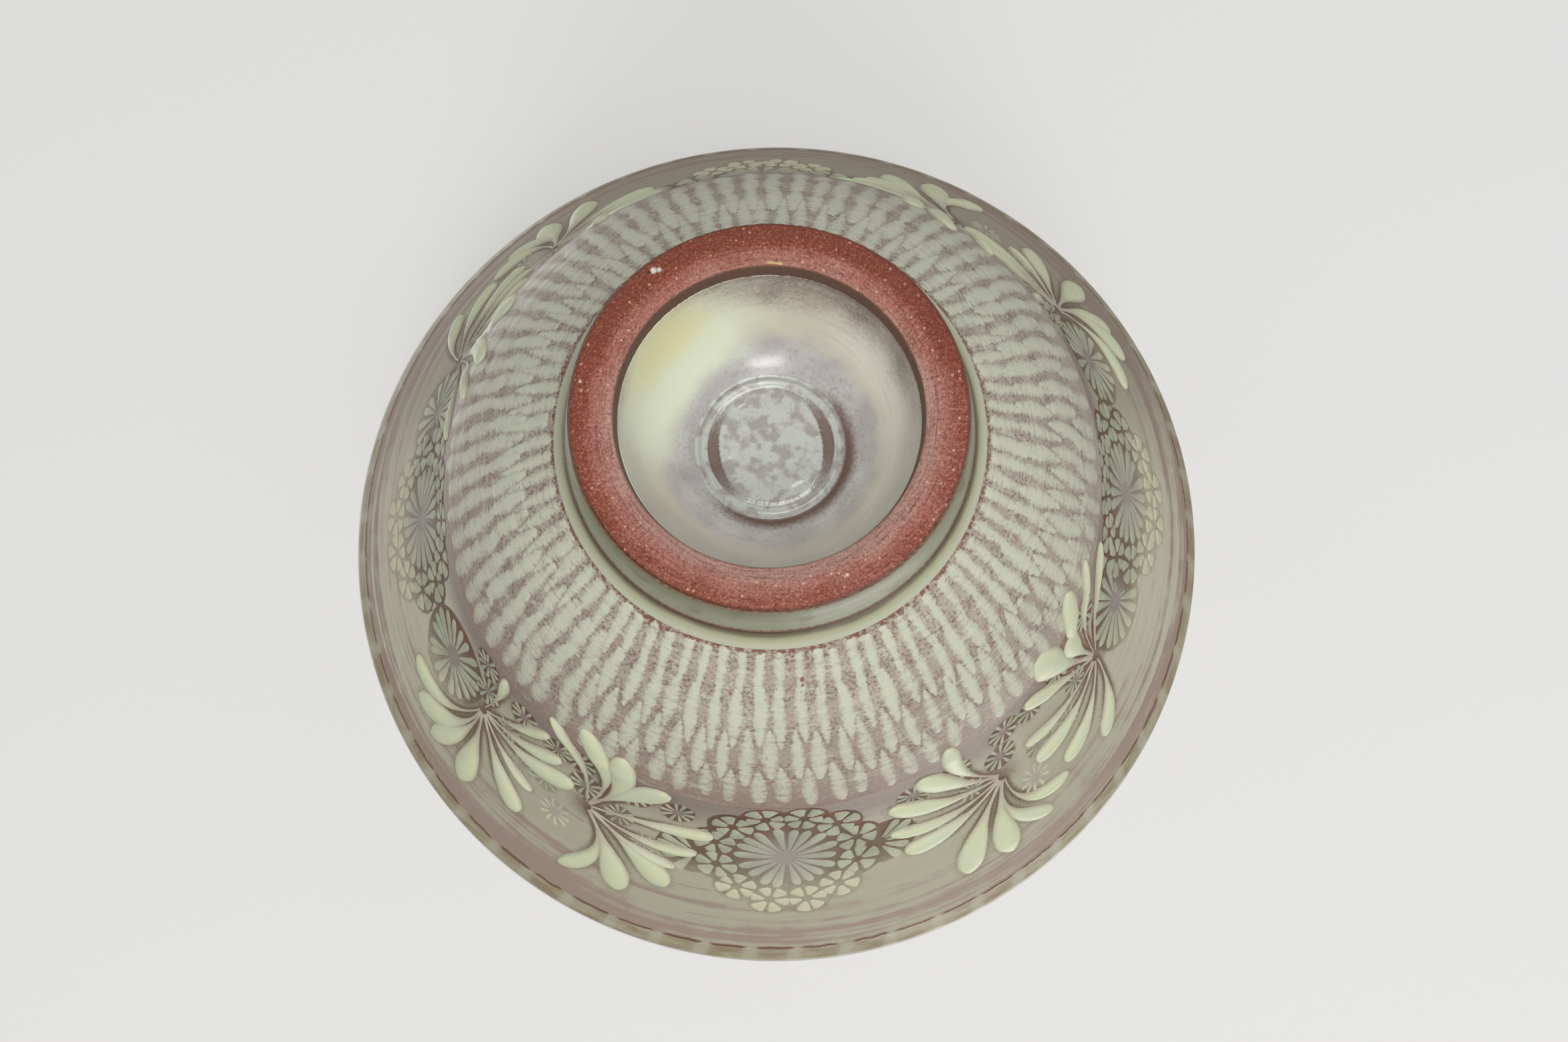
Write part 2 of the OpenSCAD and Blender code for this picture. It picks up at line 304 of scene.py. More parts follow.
class Value:
    """What a material's nodes work out at each place. Numbers among them add and multiply as usual."""

    def __init__(self, shader, socket):
        self.shader, self.socket = shader, socket

    def __add__(self, other):
        return self.shader.add("Math", {0: self, 1: other}, operation="ADD")

    def __sub__(self, number):
        return self + -number

    def __mul__(self, other):
        return self.shader.add("Math", {0: self, 1: other}, operation="MULTIPLY")

    def step(self, start, end):
        """0 at start, 1 at end and eased between; start may be the larger."""
        inputs = {
            "Value": self, "From Min": min(start, end), "From Max": max(start, end),
            "To Min": float(start > end), "To Max": float(start <= end),
        }
        return self.shader.add("MapRange", inputs, "Result", interpolation_type="SMOOTHSTEP")


class Shader:
    """Builds a material's nodes, one short call each."""

    def __init__(self, name, roughness=0.35, specular=0.5, coat=0.0, coat_roughness=0.1):
        self.material = bpy.data.materials.new(name)
        self.material.use_nodes = True
        self.tree = self.material.node_tree
        self.bsdf = self.tree.nodes["Principled BSDF"]
        self.feed(self.bsdf, {
            "Roughness": roughness, "Specular IOR Level": specular,
            "Coat Weight": coat, "Coat Roughness": coat_roughness,
        })
        metres = self.add("TexCoord", {}, "Object")
        self.place = self.scaled(metres, (1 / MM, 1 / MM, 1 / MM))

    def feed(self, node, inputs):
        for key, value in inputs.items():
            if isinstance(value, Value):
                self.tree.links.new(value.socket, node.inputs[key])
            else:
                node.inputs[key].default_value = value

    def add(self, kind, inputs, output=0, **settings):
        """Adds a node and gives what comes out of it."""
        node = self.tree.nodes.new("ShaderNode" + kind)
        for key, value in settings.items():
            setattr(node, key, value)
        self.feed(node, inputs)
        return Value(self, node.outputs[output])

    def read(self, name, noise=None, share=0.0):
        """A piece's attribute, made uneven by a share of a noise."""
        value = self.add("Attribute", {}, "Fac", attribute_name=name)
        return value + (noise - 0.5) * share if noise else value

    def scaled(self, vector, scale):
        return self.add("VectorMath", {0: vector, 1: scale}, operation="MULTIPLY")

    def noise(self, scale, detail=2.0, roughness=0.5, vector=None):
        inputs = {"Vector": vector or self.place, "Scale": scale, "Detail": detail, "Roughness": roughness}
        return self.add("TexNoise", inputs, "Fac")

    def brushed(self, around, along, detail=3, roughness=0.6):
        """Noise drawn out round the cup, by its scales around it and along its section."""
        flow = self.add("Attribute", {}, "Vector", attribute_name="flow")
        return self.noise(1.0, detail, roughness, self.scaled(flow, (around, around, along)))

    def dots(self, scale, size, share):
        """Round specks of the given size, in pitches, in a share of the cells of a scattered grid."""
        apart = self.add("TexVoronoi", {"Vector": self.place, "Scale": scale}, "Distance")
        cell = Value(self, apart.socket.node.outputs["Color"])
        chosen = self.add("SeparateColor", {0: cell}).step(1 - share - 0.02, 1 - share + 0.02)
        return apart.step(size, 0.6 * size) * chosen

    def mix(self, share, a, b):
        a, b = (colour if isinstance(colour, Value) else tint(*colour) for colour in (a, b))
        return self.add("Mix", {0: share, 6: a, 7: b}, 2, data_type="RGBA")

    def layers(self, ground, *coats):
        """A colour under coats, each a share and a colour, laid over one another in turn."""
        return reduce(lambda under, coat: self.mix(coat[0], under, coat[1]), coats, ground)

    def finish(self, colour, height, depth):
        """The material, with its colour and its fine relief."""
        bump = self.add("Bump", {"Distance": depth * MM, "Height": height})
        self.feed(self.bsdf, {"Base Color": colour, "Normal": bump})
        return self.material


CREAM, CREAM_WARM = (204, 208, 188), (210, 210, 184)
MAUVE, VEIL = (182, 171, 156), (198, 189, 171)
PINK, BEIGE, GREY = (163, 143, 130), (178, 174, 152), (168, 162, 156)
RUST, RED_RUST, ORANGE = (122, 92, 81), (122, 62, 46), (205, 140, 70)
SEPIA, OLIVE = (92, 72, 58), (112, 92, 72)


def clay_material():
    """Bare red clay with turning lines and pale grit, paler at its inner edge, worn by rubbing; painted
    sheen and shade.
    """
    sh = Shader("red_clay", roughness=0.5, specular=0.3)
    cloud, grain = sh.noise(0.35, 3), sh.noise(5.6, 3, 0.8)
    lines = sh.brushed(0.16, 7.0, 3, 0.65)
    # Paler towards the inner edge, where the clay is worn by rubbing and a sheen is painted, more on the
    # near and -X sides, less far
    rubbed = sh.read("rubbed") + (cloud + grain - 1.0) * 0.8
    colour = sh.layers(
        (139, 67, 48),
        (rubbed.step(0.05, 0.65), (170, 110, 96)),
        (rubbed.step(0.62, 1.15) * 0.85, (190, 152, 140)),
        (lines.step(0.47, 0.68) * 0.5, (108, 48, 36)),
        (grain.step(0.49, 0.36) * 0.5, (88, 36, 27)),
        (grain.step(0.53, 0.66) * 0.55, (208, 152, 130)),
        (sh.dots(2.2, 0.26, 0.26) * 0.75, (222, 180, 154)),
        (sh.dots(2.1, 0.24, 0.25) * 0.3, (72, 32, 24)),
        (sh.read("bore"), (104, 74, 60)),
        # Darker brown on the foot's outer side, and painted shade on the far side of its face
        (sh.read("side") * 0.75, (100, 50, 32)),
        (sh.read("chip"), (222, 212, 200)),
        (sh.read("pit"), (60, 34, 28)),
        (sh.read("straw"), (214, 186, 126)),
    )
    return sh.finish(colour, lines * 0.8 + grain, 0.06)


def body_material():
    """The lower wall: mauve glaze with rusty grain, painted shade towards the shoulder, and the pale
    strokes where slip is 1.
    """
    sh = Shader("body_glaze", roughness=0.48, specular=0.4)
    cloud, patch, grain = sh.noise(0.16, 3), sh.noise(0.8, 3, 0.6), sh.noise(4.0, 3, 0.75)
    wipe = sh.brushed(0.45, 3.2)
    dense, shade = sh.read("dense"), sh.read("shade")
    thick = (patch * 0.7 + wipe * 0.5 + dense * 0.25).step(0.50, 0.90)
    ground = sh.layers(
        MAUVE,
        ((cloud + patch * 0.5).step(0.60, 1.0), VEIL),
        (dense * 0.25, (150, 135, 125)),
        (grain.step(0.45, 0.62) * (thick * 0.9), RUST),
        ((wipe + patch).step(0.95, 1.30) * 0.5, CREAM),
        # Painted shade towards the shoulder: a darker, redder ground
        (shade * 0.68, (132, 104, 90)),
    )
    worn = (grain - 0.5) * -1.2 + (patch - 0.5) * 0.9 + (wipe - 0.5) * 1.1
    rust = sh.read("rust") + (grain + patch - 1.0) * 1.6
    colour = sh.layers(
        ground,
        ((sh.read("slip") + worn).step(0.0, 1.05), sh.mix(wipe.step(0.35, 0.75), CREAM, CREAM_WARM)),
        # Painted shade towards the shoulder, over the strokes too
        (shade * 0.28, (142, 120, 108)),
        (sh.dots(0.30, 0.05, 0.4) * 0.9, ORANGE),
        (rust.step(0.35, 0.75) * 0.8, RED_RUST),
    )
    return sh.finish(colour, grain + wipe, 0.02)


def band_material():
    """The flower band and lip: streaked pink and beige, dark in stamped lines and painted shade, pale
    where slip is 1.
    """
    sh = Shader("band_glaze", roughness=0.55, specular=0.2)
    up = sh.read("up")
    grain, patch = sh.noise(4.2, 4, 0.75), sh.noise(0.5, 3, 0.6)
    streak, fine = sh.brushed(0.05, 1.1, 4, 0.65), sh.brushed(0.12, 5.0)
    streaked = (streak - 0.5) * -1.7 + (patch - 0.5) * 0.5
    pink = up + sh.read("blush") * 0.10 + streaked
    stamp = sh.read("stamp", grain, 0.6)
    line = sh.layers(RED_RUST, (patch.step(0.4, 0.6), SEPIA), (up.step(0.05, 0.45), OLIVE))
    ground = sh.layers(
        BEIGE,
        (sh.read("beside") * 0.9, (202, 197, 176)),
        (pink.step(0.76, 1.06), PINK),
        # Painted shade on the far side
        (sh.read("behind") * 0.4, (140, 119, 105)),
        # Darker mauve along the shoulder: the glaze's own mauve there, with painted shade
        (up.step(0.28, 0.06) * 0.85, (138, 122, 114)),
        (fine.step(0.48, 0.70) * 0.35, (166, 152, 136)),
        (grain.step(0.52, 0.66) * up.step(0.4, 0.0) * 0.5, RUST),
        # Dark in the stamped lines, and in painted shade beside the leaves and round their roots
        (stamp.step(0.15, 0.85) * 0.95, line),
    )
    pale = sh.layers(
        (178, 183, 158),
        (patch.step(0.35, 0.65), (162, 164, 140)),
        (up.step(0.42, 0.62), (204, 201, 172)),
    )
    slip = sh.read("slip", grain, 0.5)
    rust = sh.read("rust", grain, 1.6)
    colour = sh.layers(
        ground,
        (slip.step(0.12, 0.60), pale),
        (sh.read("haze") * 0.85, GREY),
        (rust.step(0.40, 0.70) * 0.85, RED_RUST),
    )
    return sh.finish(colour, grain + fine, 0.02)


def leaf_material():
    """Trailed slip: thick cream, thinning to the ground's beige along its edges."""
    sh = Shader("trailed_slip", roughness=0.5, specular=0.4)
    cloud, grain = sh.noise(0.6, 3), sh.noise(3.5, 3, 0.6)
    crown = sh.read("crown", grain, 0.25)
    thick = sh.mix(cloud.step(0.35, 0.65), (206, 213, 182), (210, 214, 174))
    thin = sh.mix(cloud.step(0.4, 0.6), (188, 182, 162), (178, 166, 150))
    return sh.finish(sh.mix(crown.step(0.05, 0.60), thin, thick), cloud + grain * 0.3, 0.05)


def foot_glaze_material():
    """The foot's outside: olive glaze, with pooling and painted shade above its line, paler in the fillet,
    brown at its lower edge.
    """
    sh = Shader("foot_glaze", roughness=0.4, specular=0.45)
    cloud, grain = sh.noise(0.3, 3), sh.noise(5.0, 3, 0.7)
    fine = sh.brushed(0.10, 4.0)
    fillet = sh.read("fillet", cloud, 0.2)
    edge = sh.read("edge", grain, 0.6)
    colour = sh.layers(
        (152, 156, 130),
        (cloud.step(0.35, 0.65), (163, 166, 140)),
        (fine.step(0.5, 0.75) * 0.4, (146, 147, 122)),
        (sh.read("up").step(0.75, 0.05), (130, 127, 104)),
        # Dark olive in the corner just above the line: pooled glaze, with painted shade
        (fillet.step(0.0, 0.06), (110, 102, 78)),
        (fillet.step(0.34, 0.64), (178, 178, 144)),
        (fillet.step(0.60, 0.90), (190, 193, 168)),
        (edge.step(0.35, 0.8), (120, 92, 66)),
    )
    return sh.finish(colour, cloud + fine * 0.5, 0.04)


def line_material(name, dark, light):
    """A brushed iron line: grainy, and thin in places."""
    sh = Shader(name, roughness=0.4)
    grain = sh.noise(5.5, 4, 0.7)
    thin = sh.read("edge", grain, 0.9) + sh.noise(0.7) * 0.3
    return sh.finish(sh.mix(thin.step(0.45, 0.95), dark, light), grain, 0.03)


def rim_material():
    """The rim's strip: brown-beige glaze drawn out along it, pale at each gap in the lip line."""
    sh = Shader("rim_glaze", roughness=0.5, specular=0.25)
    blotch, grain = sh.brushed(0.5, 1.0), sh.noise(4.5, 4, 0.7)
    uneven = (blotch + grain - 1.0) * 0.9
    colour = sh.layers(
        (172, 164, 138),
        (blotch.step(0.38, 0.60), (154, 140, 112)),
        ((blotch + grain * 0.3).step(0.70, 0.82) * 0.35, (138, 112, 82)),
        ((sh.read("gap") + uneven).step(0.1, 0.9) * 0.55, (186, 184, 164)),
        ((sh.read("edge") + uneven).step(0.3, 0.9) * 0.7, (148, 112, 94)),
    )
    return sh.finish(colour, grain + blotch, 0.02)


def inner_material():
    """Inside: a soft cream glaze over mauve, thinner on the throwing rings and pooled on the floor."""
    sh = Shader("inner_glaze", roughness=0.2, coat=0.4, coat_roughness=0.08)
    cloud, patch, grain = sh.noise(0.14, 3), sh.noise(0.8, 3, 0.6), sh.noise(4.5, 4, 0.7)
    ring = sh.brushed(0.04, 0.8)
    colour = sh.layers(
        (203, 201, 182),
        ((cloud + ring * 0.6).step(0.6, 1.0), (190, 176, 167)),
        (ring.step(0.5, 0.75) * 0.3, (176, 156, 148)),
        (sh.read("pool") * patch.step(0.3, 0.6), (206, 208, 184)),
        (grain.step(0.58, 0.68) * patch.step(0.45, 0.7) * 0.5, (140, 104, 92)),
        (sh.read("edge"), (160, 134, 110)),
    )
    return sh.finish(colour, ring + grain * 0.2, 0.05)


def well_material():
    """The well: glossy lavender glaze, beige up its wall, a pale and yellow pool to one side, painted
    shadow and highlight.
    """
    sh = Shader("well_glaze", roughness=0.3, coat=1.0, coat_roughness=0.2)
    cloud, grain, patch = sh.noise(0.35, 3), sh.noise(4.0, 4, 0.75), sh.noise(1.2, 3, 0.6)
    turned = sh.brushed(0.10, 3.0)
    soft = (cloud - 0.5) * 0.5
    cream = sh.read("cream") + soft + (grain - 0.5) * 0.5
    thin = sh.read("thin") + (grain + cloud - 1.0) * 0.7
    colour = sh.layers(
        (178, 174, 174),
        ((cloud + turned * 0.5).step(0.6, 0.95), (198, 198, 196)),
        (grain.step(0.47, 0.64) * patch.step(0.30, 0.65) * 0.5, (140, 116, 110)),
        (cream.step(0.1, 0.9), (206, 200, 182)),
        ((sh.read("pale") + soft).step(0.1, 1.0), (226, 222, 208)),
        (turned.step(0.50, 0.72) * 0.25, (176, 160, 142)),
        # The pale pool, which also carries the painted highlight along part of the glaze's edge
        ((sh.read("pool") + soft * 0.6).step(0.10, 0.85), (226, 233, 208)),
        ((sh.read("yellow") + soft).step(0.15, 1.0) * 0.8, (230, 224, 166)),
        # Brown where the glaze lies thin at the edge, and the painted shadow by the pad
        (thin.step(0.15, 1.0), (106, 78, 64)),
    )
    return sh.finish(colour, cloud + (grain + turned) * 0.15, 0.04)


def pad_material():
    """The plain pad: cream where it stands up, brown where the glaze lies thin and in a painted shadow at
    its edge.
    """
    sh = Shader("pad_glaze", roughness=0.2, coat=0.8, coat_roughness=0.12)
    cloud, grain = sh.noise(0.9, 3), sh.noise(5.0, 4, 0.7)
    bare = sh.read("bare", cloud, -0.5) + (grain - 0.5) * 0.8
    colour = sh.layers(
        (194, 198, 192),
        (cloud.step(0.45, 0.60) * 0.75, (156, 145, 142)),
        # Brown in the thin glaze of the hollows, and painted shadow along the pad's edge
        (bare.step(0.1, 0.95) * 0.9, (108, 82, 72)),
        (grain.step(0.54, 0.66) * 0.3, (120, 96, 90)),
    )
    return sh.finish(colour, cloud + grain * 0.2, 0.05)


# Meshes

def quads(patches, rows, columns, closed):
    i = np.arange(rows - 1)[:, None] * columns
    j = np.arange(columns if closed else columns - 1)[None, :]
    ahead = (j + 1) % columns
    quad = np.stack([i + j, i + ahead, i + columns + ahead, i + columns + j], -1).reshape(-1, 4)
    start = np.arange(patches) * rows * columns
    return (quad[None] + start[:, None, None]).reshape(-1, 4)


def face_normals(grid, closed):
    """Unit normals on the side that the grids' faces show; a patch takes its middle column's."""
    along = np.roll(grid, -1, 2) - np.roll(grid, 1, 2) if closed else np.gradient(grid, axis=2)
    normal = np.cross(along, np.gradient(grid, axis=1))
    normal /= np.linalg.norm(normal, axis=-1, keepdims=True)
    if not closed:
        middle = grid.shape[2] // 2
        normal = np.broadcast_to(normal[:, :, middle:middle + 1], grid.shape)
    return normal


def closed_up(grid, closed, back, back_rows):
    """A face and what closes it behind: points, the face point that each copies, quads and end caps."""
    patches, rows, columns, _ = grid.shape
    index = np.arange(patches * rows * columns).reshape(patches, rows, columns)
    if closed:
        rear = index[:, np.r_[rows - 1, np.linspace(rows - 1, 0, back_rows).round().astype(int), 0]]
        sunk = np.r_[0, np.full(back_rows, back), 0][:, None]
    else:
        rear = index[:, :, [-1, -1, 0, 0]]
        sunk = np.array([0, back, back, 0])[None, :]
    face, normal = grid.reshape(-1, 3), face_normals(grid, closed).reshape(-1, 3)
    points = np.concatenate([face, (face[rear] - sunk[..., None] * normal[rear]).reshape(-1, 3)])
    source = np.concatenate([index.ravel(), rear.ravel()])
    faces = [quads(patches, rows, columns, closed), quads(patches, *rear.shape[1:], closed) + len(face)]
    caps = np.zeros((0, 4), int)
    if not closed:
        edge = len(face) + np.arange(rear.size).reshape(rear.shape)
        first = np.concatenate([edge[:, 0, [2, 1]], index[:, 0, ::-1]], 1)
        last = np.concatenate([index[:, -1], edge[:, -1, [1, 2]]], 1)
        ends = np.concatenate([first, last])
        caps = len(points) + np.arange(ends.size).reshape(ends.shape)
        points = np.concatenate([points, points[ends.ravel()]])
        source = np.concatenate([source, source[ends.ravel()]])
    return points, source, faces, caps


def add_piece(name, slot, material, grid, back=SKIN_T, back_rows=BACK_ROWS, **attributes):
    """A closed piece in place of the node of its name.

    The grid holds points, in rows and columns. It runs round the cup, unless it holds many patches.
    """
    closed = grid.ndim == 3
    grid = grid[None] if closed else grid
    points, source, (front, rear), caps = closed_up(grid, closed, back, back_rows)
    mesh = bpy.data.meshes.new(name)
    mesh.vertices.add(len(points))
    mesh.vertices.foreach_set("co", (points * MM).astype(np.float32).ravel())
    loops = np.concatenate([front.ravel(), rear.ravel(), caps.ravel()])
    mesh.loops.add(loops.size)
    mesh.loops.foreach_set("vertex_index", loops.astype(np.int32))
    four_sided = 4 * np.arange(len(front) + len(rear))
    starts = np.concatenate([four_sided, 4 * four_sided.size + caps.shape[1] * np.arange(len(caps))])
    mesh.polygons.add(len(starts))
    mesh.polygons.foreach_set("loop_start", starts.astype(np.int32))
    mesh.polygons.foreach_set("use_smooth", np.arange(len(starts)) < len(front))
    mesh.update(calc_edges=True)
    for key, values in attributes.items():
        vector = np.shape(values) == grid.shape
        kind, field = ("FLOAT_VECTOR", "vector") if vector else ("FLOAT", "value")
        data = np.broadcast_to(values, grid.shape if vector else grid.shape[:-1])
        data = data.reshape(-1, 3 if vector else 1)[source].astype(np.float32).ravel()
        mesh.attributes.new(key, kind, "POINT").data.foreach_set(field, data)
    mesh.materials.append(material)
    piece = bpy.data.objects.new(name, mesh)
    bpy.context.scene.collection.objects.link(piece)
    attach(piece, "root")
    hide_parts(name)


def round_grid(start, end, rows, columns):
    """A measure down the rows and the bearing along the columns, as arrays of one shape."""
    return np.broadcast_arrays(np.linspace(start, end, rows)[:, None], turns(columns))


FLOW_R = 20.0


def flow_of(s, az):
    """Coordinates for brushed textures: round the cup at one radius, and along the section."""
    flow = spun(FLOW_R, az, s)
    return flow if flow.ndim == 4 else flow[None]


def on_wall(x, y, az, s):
    """The place (s, bearing) that lies x along the band and y towards the lip from a place on it."""
    return s + y, az + x / OUTSIDE.r(s + y)


def off_origin(s, az, origin_az):
    """How far a place lies along the band and towards the lip from the flowers' height at a bearing."""
    return wrapped(az - origin_az) * OUTSIDE.r(s), s - S_FLOWER


def distance(s, az, origin_az, x, y):
    """How far a place lies from the one that is x along the band and y towards the lip from an origin."""
    across, up = off_origin(s, az, origin_az)
    return np.hypot(across - x, up - y)


def behind(az):
    """1 on the far side from the first large flower, where painted shade darkens the band and the foot's
    face; 0 elsewhere.
    """
    return smooth(np.sin(az), 0.05, 0.5)


def beside(az):
    """1 on both sides of the first large flower, where the band's glaze is paler; 0 there and opposite."""
    return smooth(np.abs(wrapped(az - FLOWER_AZ)), 0.8, 1.4) * (1 - behind(az))


# The foot

# Chips and pits in the foot's face: bearing in degrees, radius and size
CHIPS = ((52, 12.75, 0.22), (53.5, 12.55, 0.16), (-115, 12.3, 0.12), (10, 12.9, 0.10))
PITS = ((50.8, 12.85, 0.10),)
CHIP_DEPTH, STRAW_H = 0.10, 0.05
# The mark of a straw on the inner edge: bearing in degrees, radius, and how fast it leans inwards
STRAW_DEGREES, STRAW_R, STRAW_LEAN = 92, 10.72, 0.9
TURNING_H, GRIT_H, CLAY_RAGGED_H, CLAY_SINK = 0.012, 0.007, 0.03, 0.03
# How far a glaze's ragged edge turns in, the bead above it, and how far glazes run under their neighbours
HEM, BEAD_H, OVERLAP = 0.12, 0.05, 0.1
FOOT_LINE_HALF_W, FOOT_LINE_UNEVEN, FOOT_LINE_H = 0.40, 0.07, 0.10
FOOT_LINE_UP, FOOT_LINE_WANDER = 0.32, 0.05
WELL_RIPPLE_H = 0.02
# The pool in the well and its yellow part: bearing, spread round the well, radius and spread across
WELL_POOL_AZ = np.radians(33)
POOL = WELL_POOL_AZ, 0.90, 8.5, 2.1
YELLOW = WELL_POOL_AZ + 0.1, 0.50, 9.6, 1.3
PAD_MOUND_H, PAD_BOSS_SHARE = 0.04, 0.75


def spots(r, az, places):
    """Soft round spots on the foot's face, each at a bearing in degrees and a radius, of a given size."""
    apart = ((np.hypot(wrapped(az - np.radians(d)) * at_r, r - at_r), size) for d, at_r, size in places)
    return most(smooth(d, 1.3 * size, 0.7 * size) for d, size in apart)


def make_foot_ring(material):
    s, az = round_grid(0, FOOT_FACE.length, rows=90, columns=1000)
    r, z = FOOT_FACE.r(s), FOOT_FACE.z(s)
    grit = np.random.default_rng(21).standard_normal(s.shape)
    turning = Ripple(22, (0, 1), (0.18, 0.5), 24)(az, s)
    relief = TURNING_H * turning + GRIT_H * grit + CLAY_RAGGED_H * RAGGED(az, s)
    chip, pit = spots(r, az, CHIPS), spots(r, az, PITS)
    across_straw = r - STRAW_R + STRAW_LEAN * wrapped(az - np.radians(90))
    along_straw = np.degrees(wrapped(az)) - STRAW_DEGREES
    straw = smooth(np.abs(across_straw), 0.09, 0.05) * smooth(np.abs(along_straw), 3.2, 2.6)
    relief = relief * smooth(r, BORE_R, BORE_R + 0.3) - CHIP_DEPTH * (chip + pit) + STRAW_H * straw
    edge = smooth(z, 0.08, 0.3) * (r > FOOT_R - BEVEL_W)
    # Painted shade on the far side of the face, dark brown
    far_shade = 0.4 * behind(az) * smooth(r, BORE_R + 1, FOOT_R - 0.6)
    # Paler towards the inner edge, worn by rubbing, with a painted sheen; the terms by bearing paint more
    # sheen on the near (-Y) and -X sides and shade on the far side
    rubbed = smooth(r, FOOT_R - 0.4, BORE_R) + 0.12 - 0.18 * np.sin(az) - 0.07 * np.cos(az)
    add_piece(
        "foot_ring", "red_clay", material, FOOT_FACE.place(s, az, relief - CLAY_SINK), back_rows=0,
        flow=flow_of(s, az), chip=chip, pit=pit, straw=straw, rubbed=rubbed - 0.2 * behind(az),
        bore=smooth(r, BORE_R + 0.12, BORE_R - 0.06), side=np.maximum(edge, far_shade),
    )


def make_foot_glaze(material):
    """The glaze on the foot's wall: turned in at its ragged lower hem, with a bead above it."""
    s, az = round_grid(-HEM, S_JOIN + OVERLAP, rows=72, columns=700)
    at = np.maximum(s + HEM * smooth(s, 0.9, -HEM) * RAGGED(az), 0)
    bead = BEAD_H * smooth(s, -HEM, 0.1) * smooth(s, 0.6, 0.15)
    lift = bead - HEM * smooth(s, 0.0, -HEM) - SINK * smooth(s, S_JOIN - 0.05, S_JOIN + OVERLAP)
    add_piece(
        "foot_glaze", "foot_glaze", material, wall(at, az, lift), flow=flow_of(s, az),
        fillet=np.clip((s - S_FOOT_LINE) / (S_JOIN - S_FOOT_LINE), 0, 1),
        edge=smooth(s, 0.18, -0.05), up=s / S_FOOT_LINE,
    )


def make_foot_line(material):
    v, az = round_grid(-1, 1, rows=9, columns=1000)
    half = FOOT_LINE_HALF_W + FOOT_LINE_UNEVEN * RAGGED(az) + FOOT_LINE_UNEVEN * CRUMBLE(az)
    s = S_FOOT_LINE + FOOT_LINE_UP + FOOT_LINE_WANDER * SWELL(az) + v * half
    grid = wall(s, az, FOOT_LINE_H * (1 - v * v) - SINK)
    add_piece("foot_line", "iron_line", material, grid, LINE_T, LINE_BACK_ROWS, edge=np.abs(v))


def make_well_glaze(material):
    s_pad = np.interp(PAD_R - OVERLAP, WELL.points[:, 0], WELL.s)
    s, az = round_grid(s_pad, WELL.length + OVERLAP, rows=84, columns=640)
    up = s - WELL.length
    at = np.minimum(s + HEM * smooth(up, -0.8, 0) * RAGGED(az), WELL.length)
    lift = WELL_RIPPLE_H * Ripple(81, (1, 7), (4, 9), 12)(az, s) - OVERLAP * smooth(up, 0, OVERLAP)
    grid = WELL.place(at, az, lift)
    x, y, r = grid[..., 0], grid[..., 1], np.hypot(grid[..., 0], grid[..., 1])
    pool, yellow = (bell(wrapped(az - a), turn) * bell(r - at_r, w) for a, turn, at_r, w in (POOL, YELLOW))
    # Painted shadow along the pad's edge, on its -X, -Y side
    pad_shadow = bell(r - PAD_R, 0.75) * smooth(-x - y, -4, 5)
    at_edge = smooth(up, -2.6, 0) * (0.40 + 0.40 * smooth(y, -3, 7))
    at_edge = np.maximum(at_edge, 0.66 * smooth(up, -6.0, -1.0) * smooth(y - 0.5 * x, 1, 9))
    at_edge *= 1 - 0.7 * bell(wrapped(az - WELL_POOL_AZ - 0.15), 0.55)
    # A painted highlight: a pale line along the glaze's edge on the +X, -Y side, added to the pool and
    # clearing the thin glaze there
    bead = smooth(up, -0.45, -0.2) * smooth(np.abs(wrapped(az + 0.85)), 0.75, 0.5)
    add_piece(
        "well_glaze", "well_glaze", material, grid,
        flow=flow_of(s, az), pool=1.2 * pool + 0.7 * bead, yellow=yellow,
        cream=smooth(r, PAD_R + 1.0, PAD_R + 3.6), pale=0.9 * bell(r - 9.0, 1.5) * smooth(-x, 1, 7),
        # Thin glaze at the edge, with the painted shadow by the pad
        thin=np.maximum(pad_shadow, at_edge * (1 - bead)),
    )


def make_pad(material):
    """The pad under the foot: a ring round a plain, low boss with a hollow at each side."""
    r, az = round_grid(0.02, PAD_R, rows=80, columns=360)
    x, y = r * np.cos(az), r * np.sin(az)
    ring_mid = PAD_R - PAD_RING_INSET - PAD_RING_W / 2
    flank = np.maximum(1 - (np.sin(az + 0.15) / 0.85) ** 2, 0)
    groove_out = ring_mid - 0.36
    groove_in = groove_out - (0.16 + 0.50 * flank + 0.05 * RAGGED(az))
    groove = smooth(r, groove_out + 0.12, groove_out - 0.10) * smooth(r, groove_in - 0.22, groove_in)
    hollow = groove * (0.25 + 0.75 * flank)
    boss = smooth(r, ring_mid + 0.1, ring_mid - 0.3)
    rise = np.maximum(bell(r - ring_mid, 0.5 * PAD_RING_W), PAD_BOSS_SHARE * boss) * (1 - hollow)
    z = PAD_Z - PAD_RING_H * rise - PAD_MOUND_H * pad_mounds(x, y) * boss * (1 - hollow)
    seat = np.interp(PAD_R, WELL.points[:, 0], WELL.points[:, 1]) - 0.05
    z = z + (seat - z) * smooth(r, PAD_R - 0.22, PAD_R)
    # Thin glaze in the hollows, and painted shadow along the pad's edge on its -X, -Y side
    bare = np.maximum(hollow, smooth(r, PAD_R - 0.4, PAD_R) * smooth(-x - y, -4, 5))
    add_piece("seal_pad", "pad_glaze", material, np.stack([x, y, z], -1), PAD_T, bare=bare)


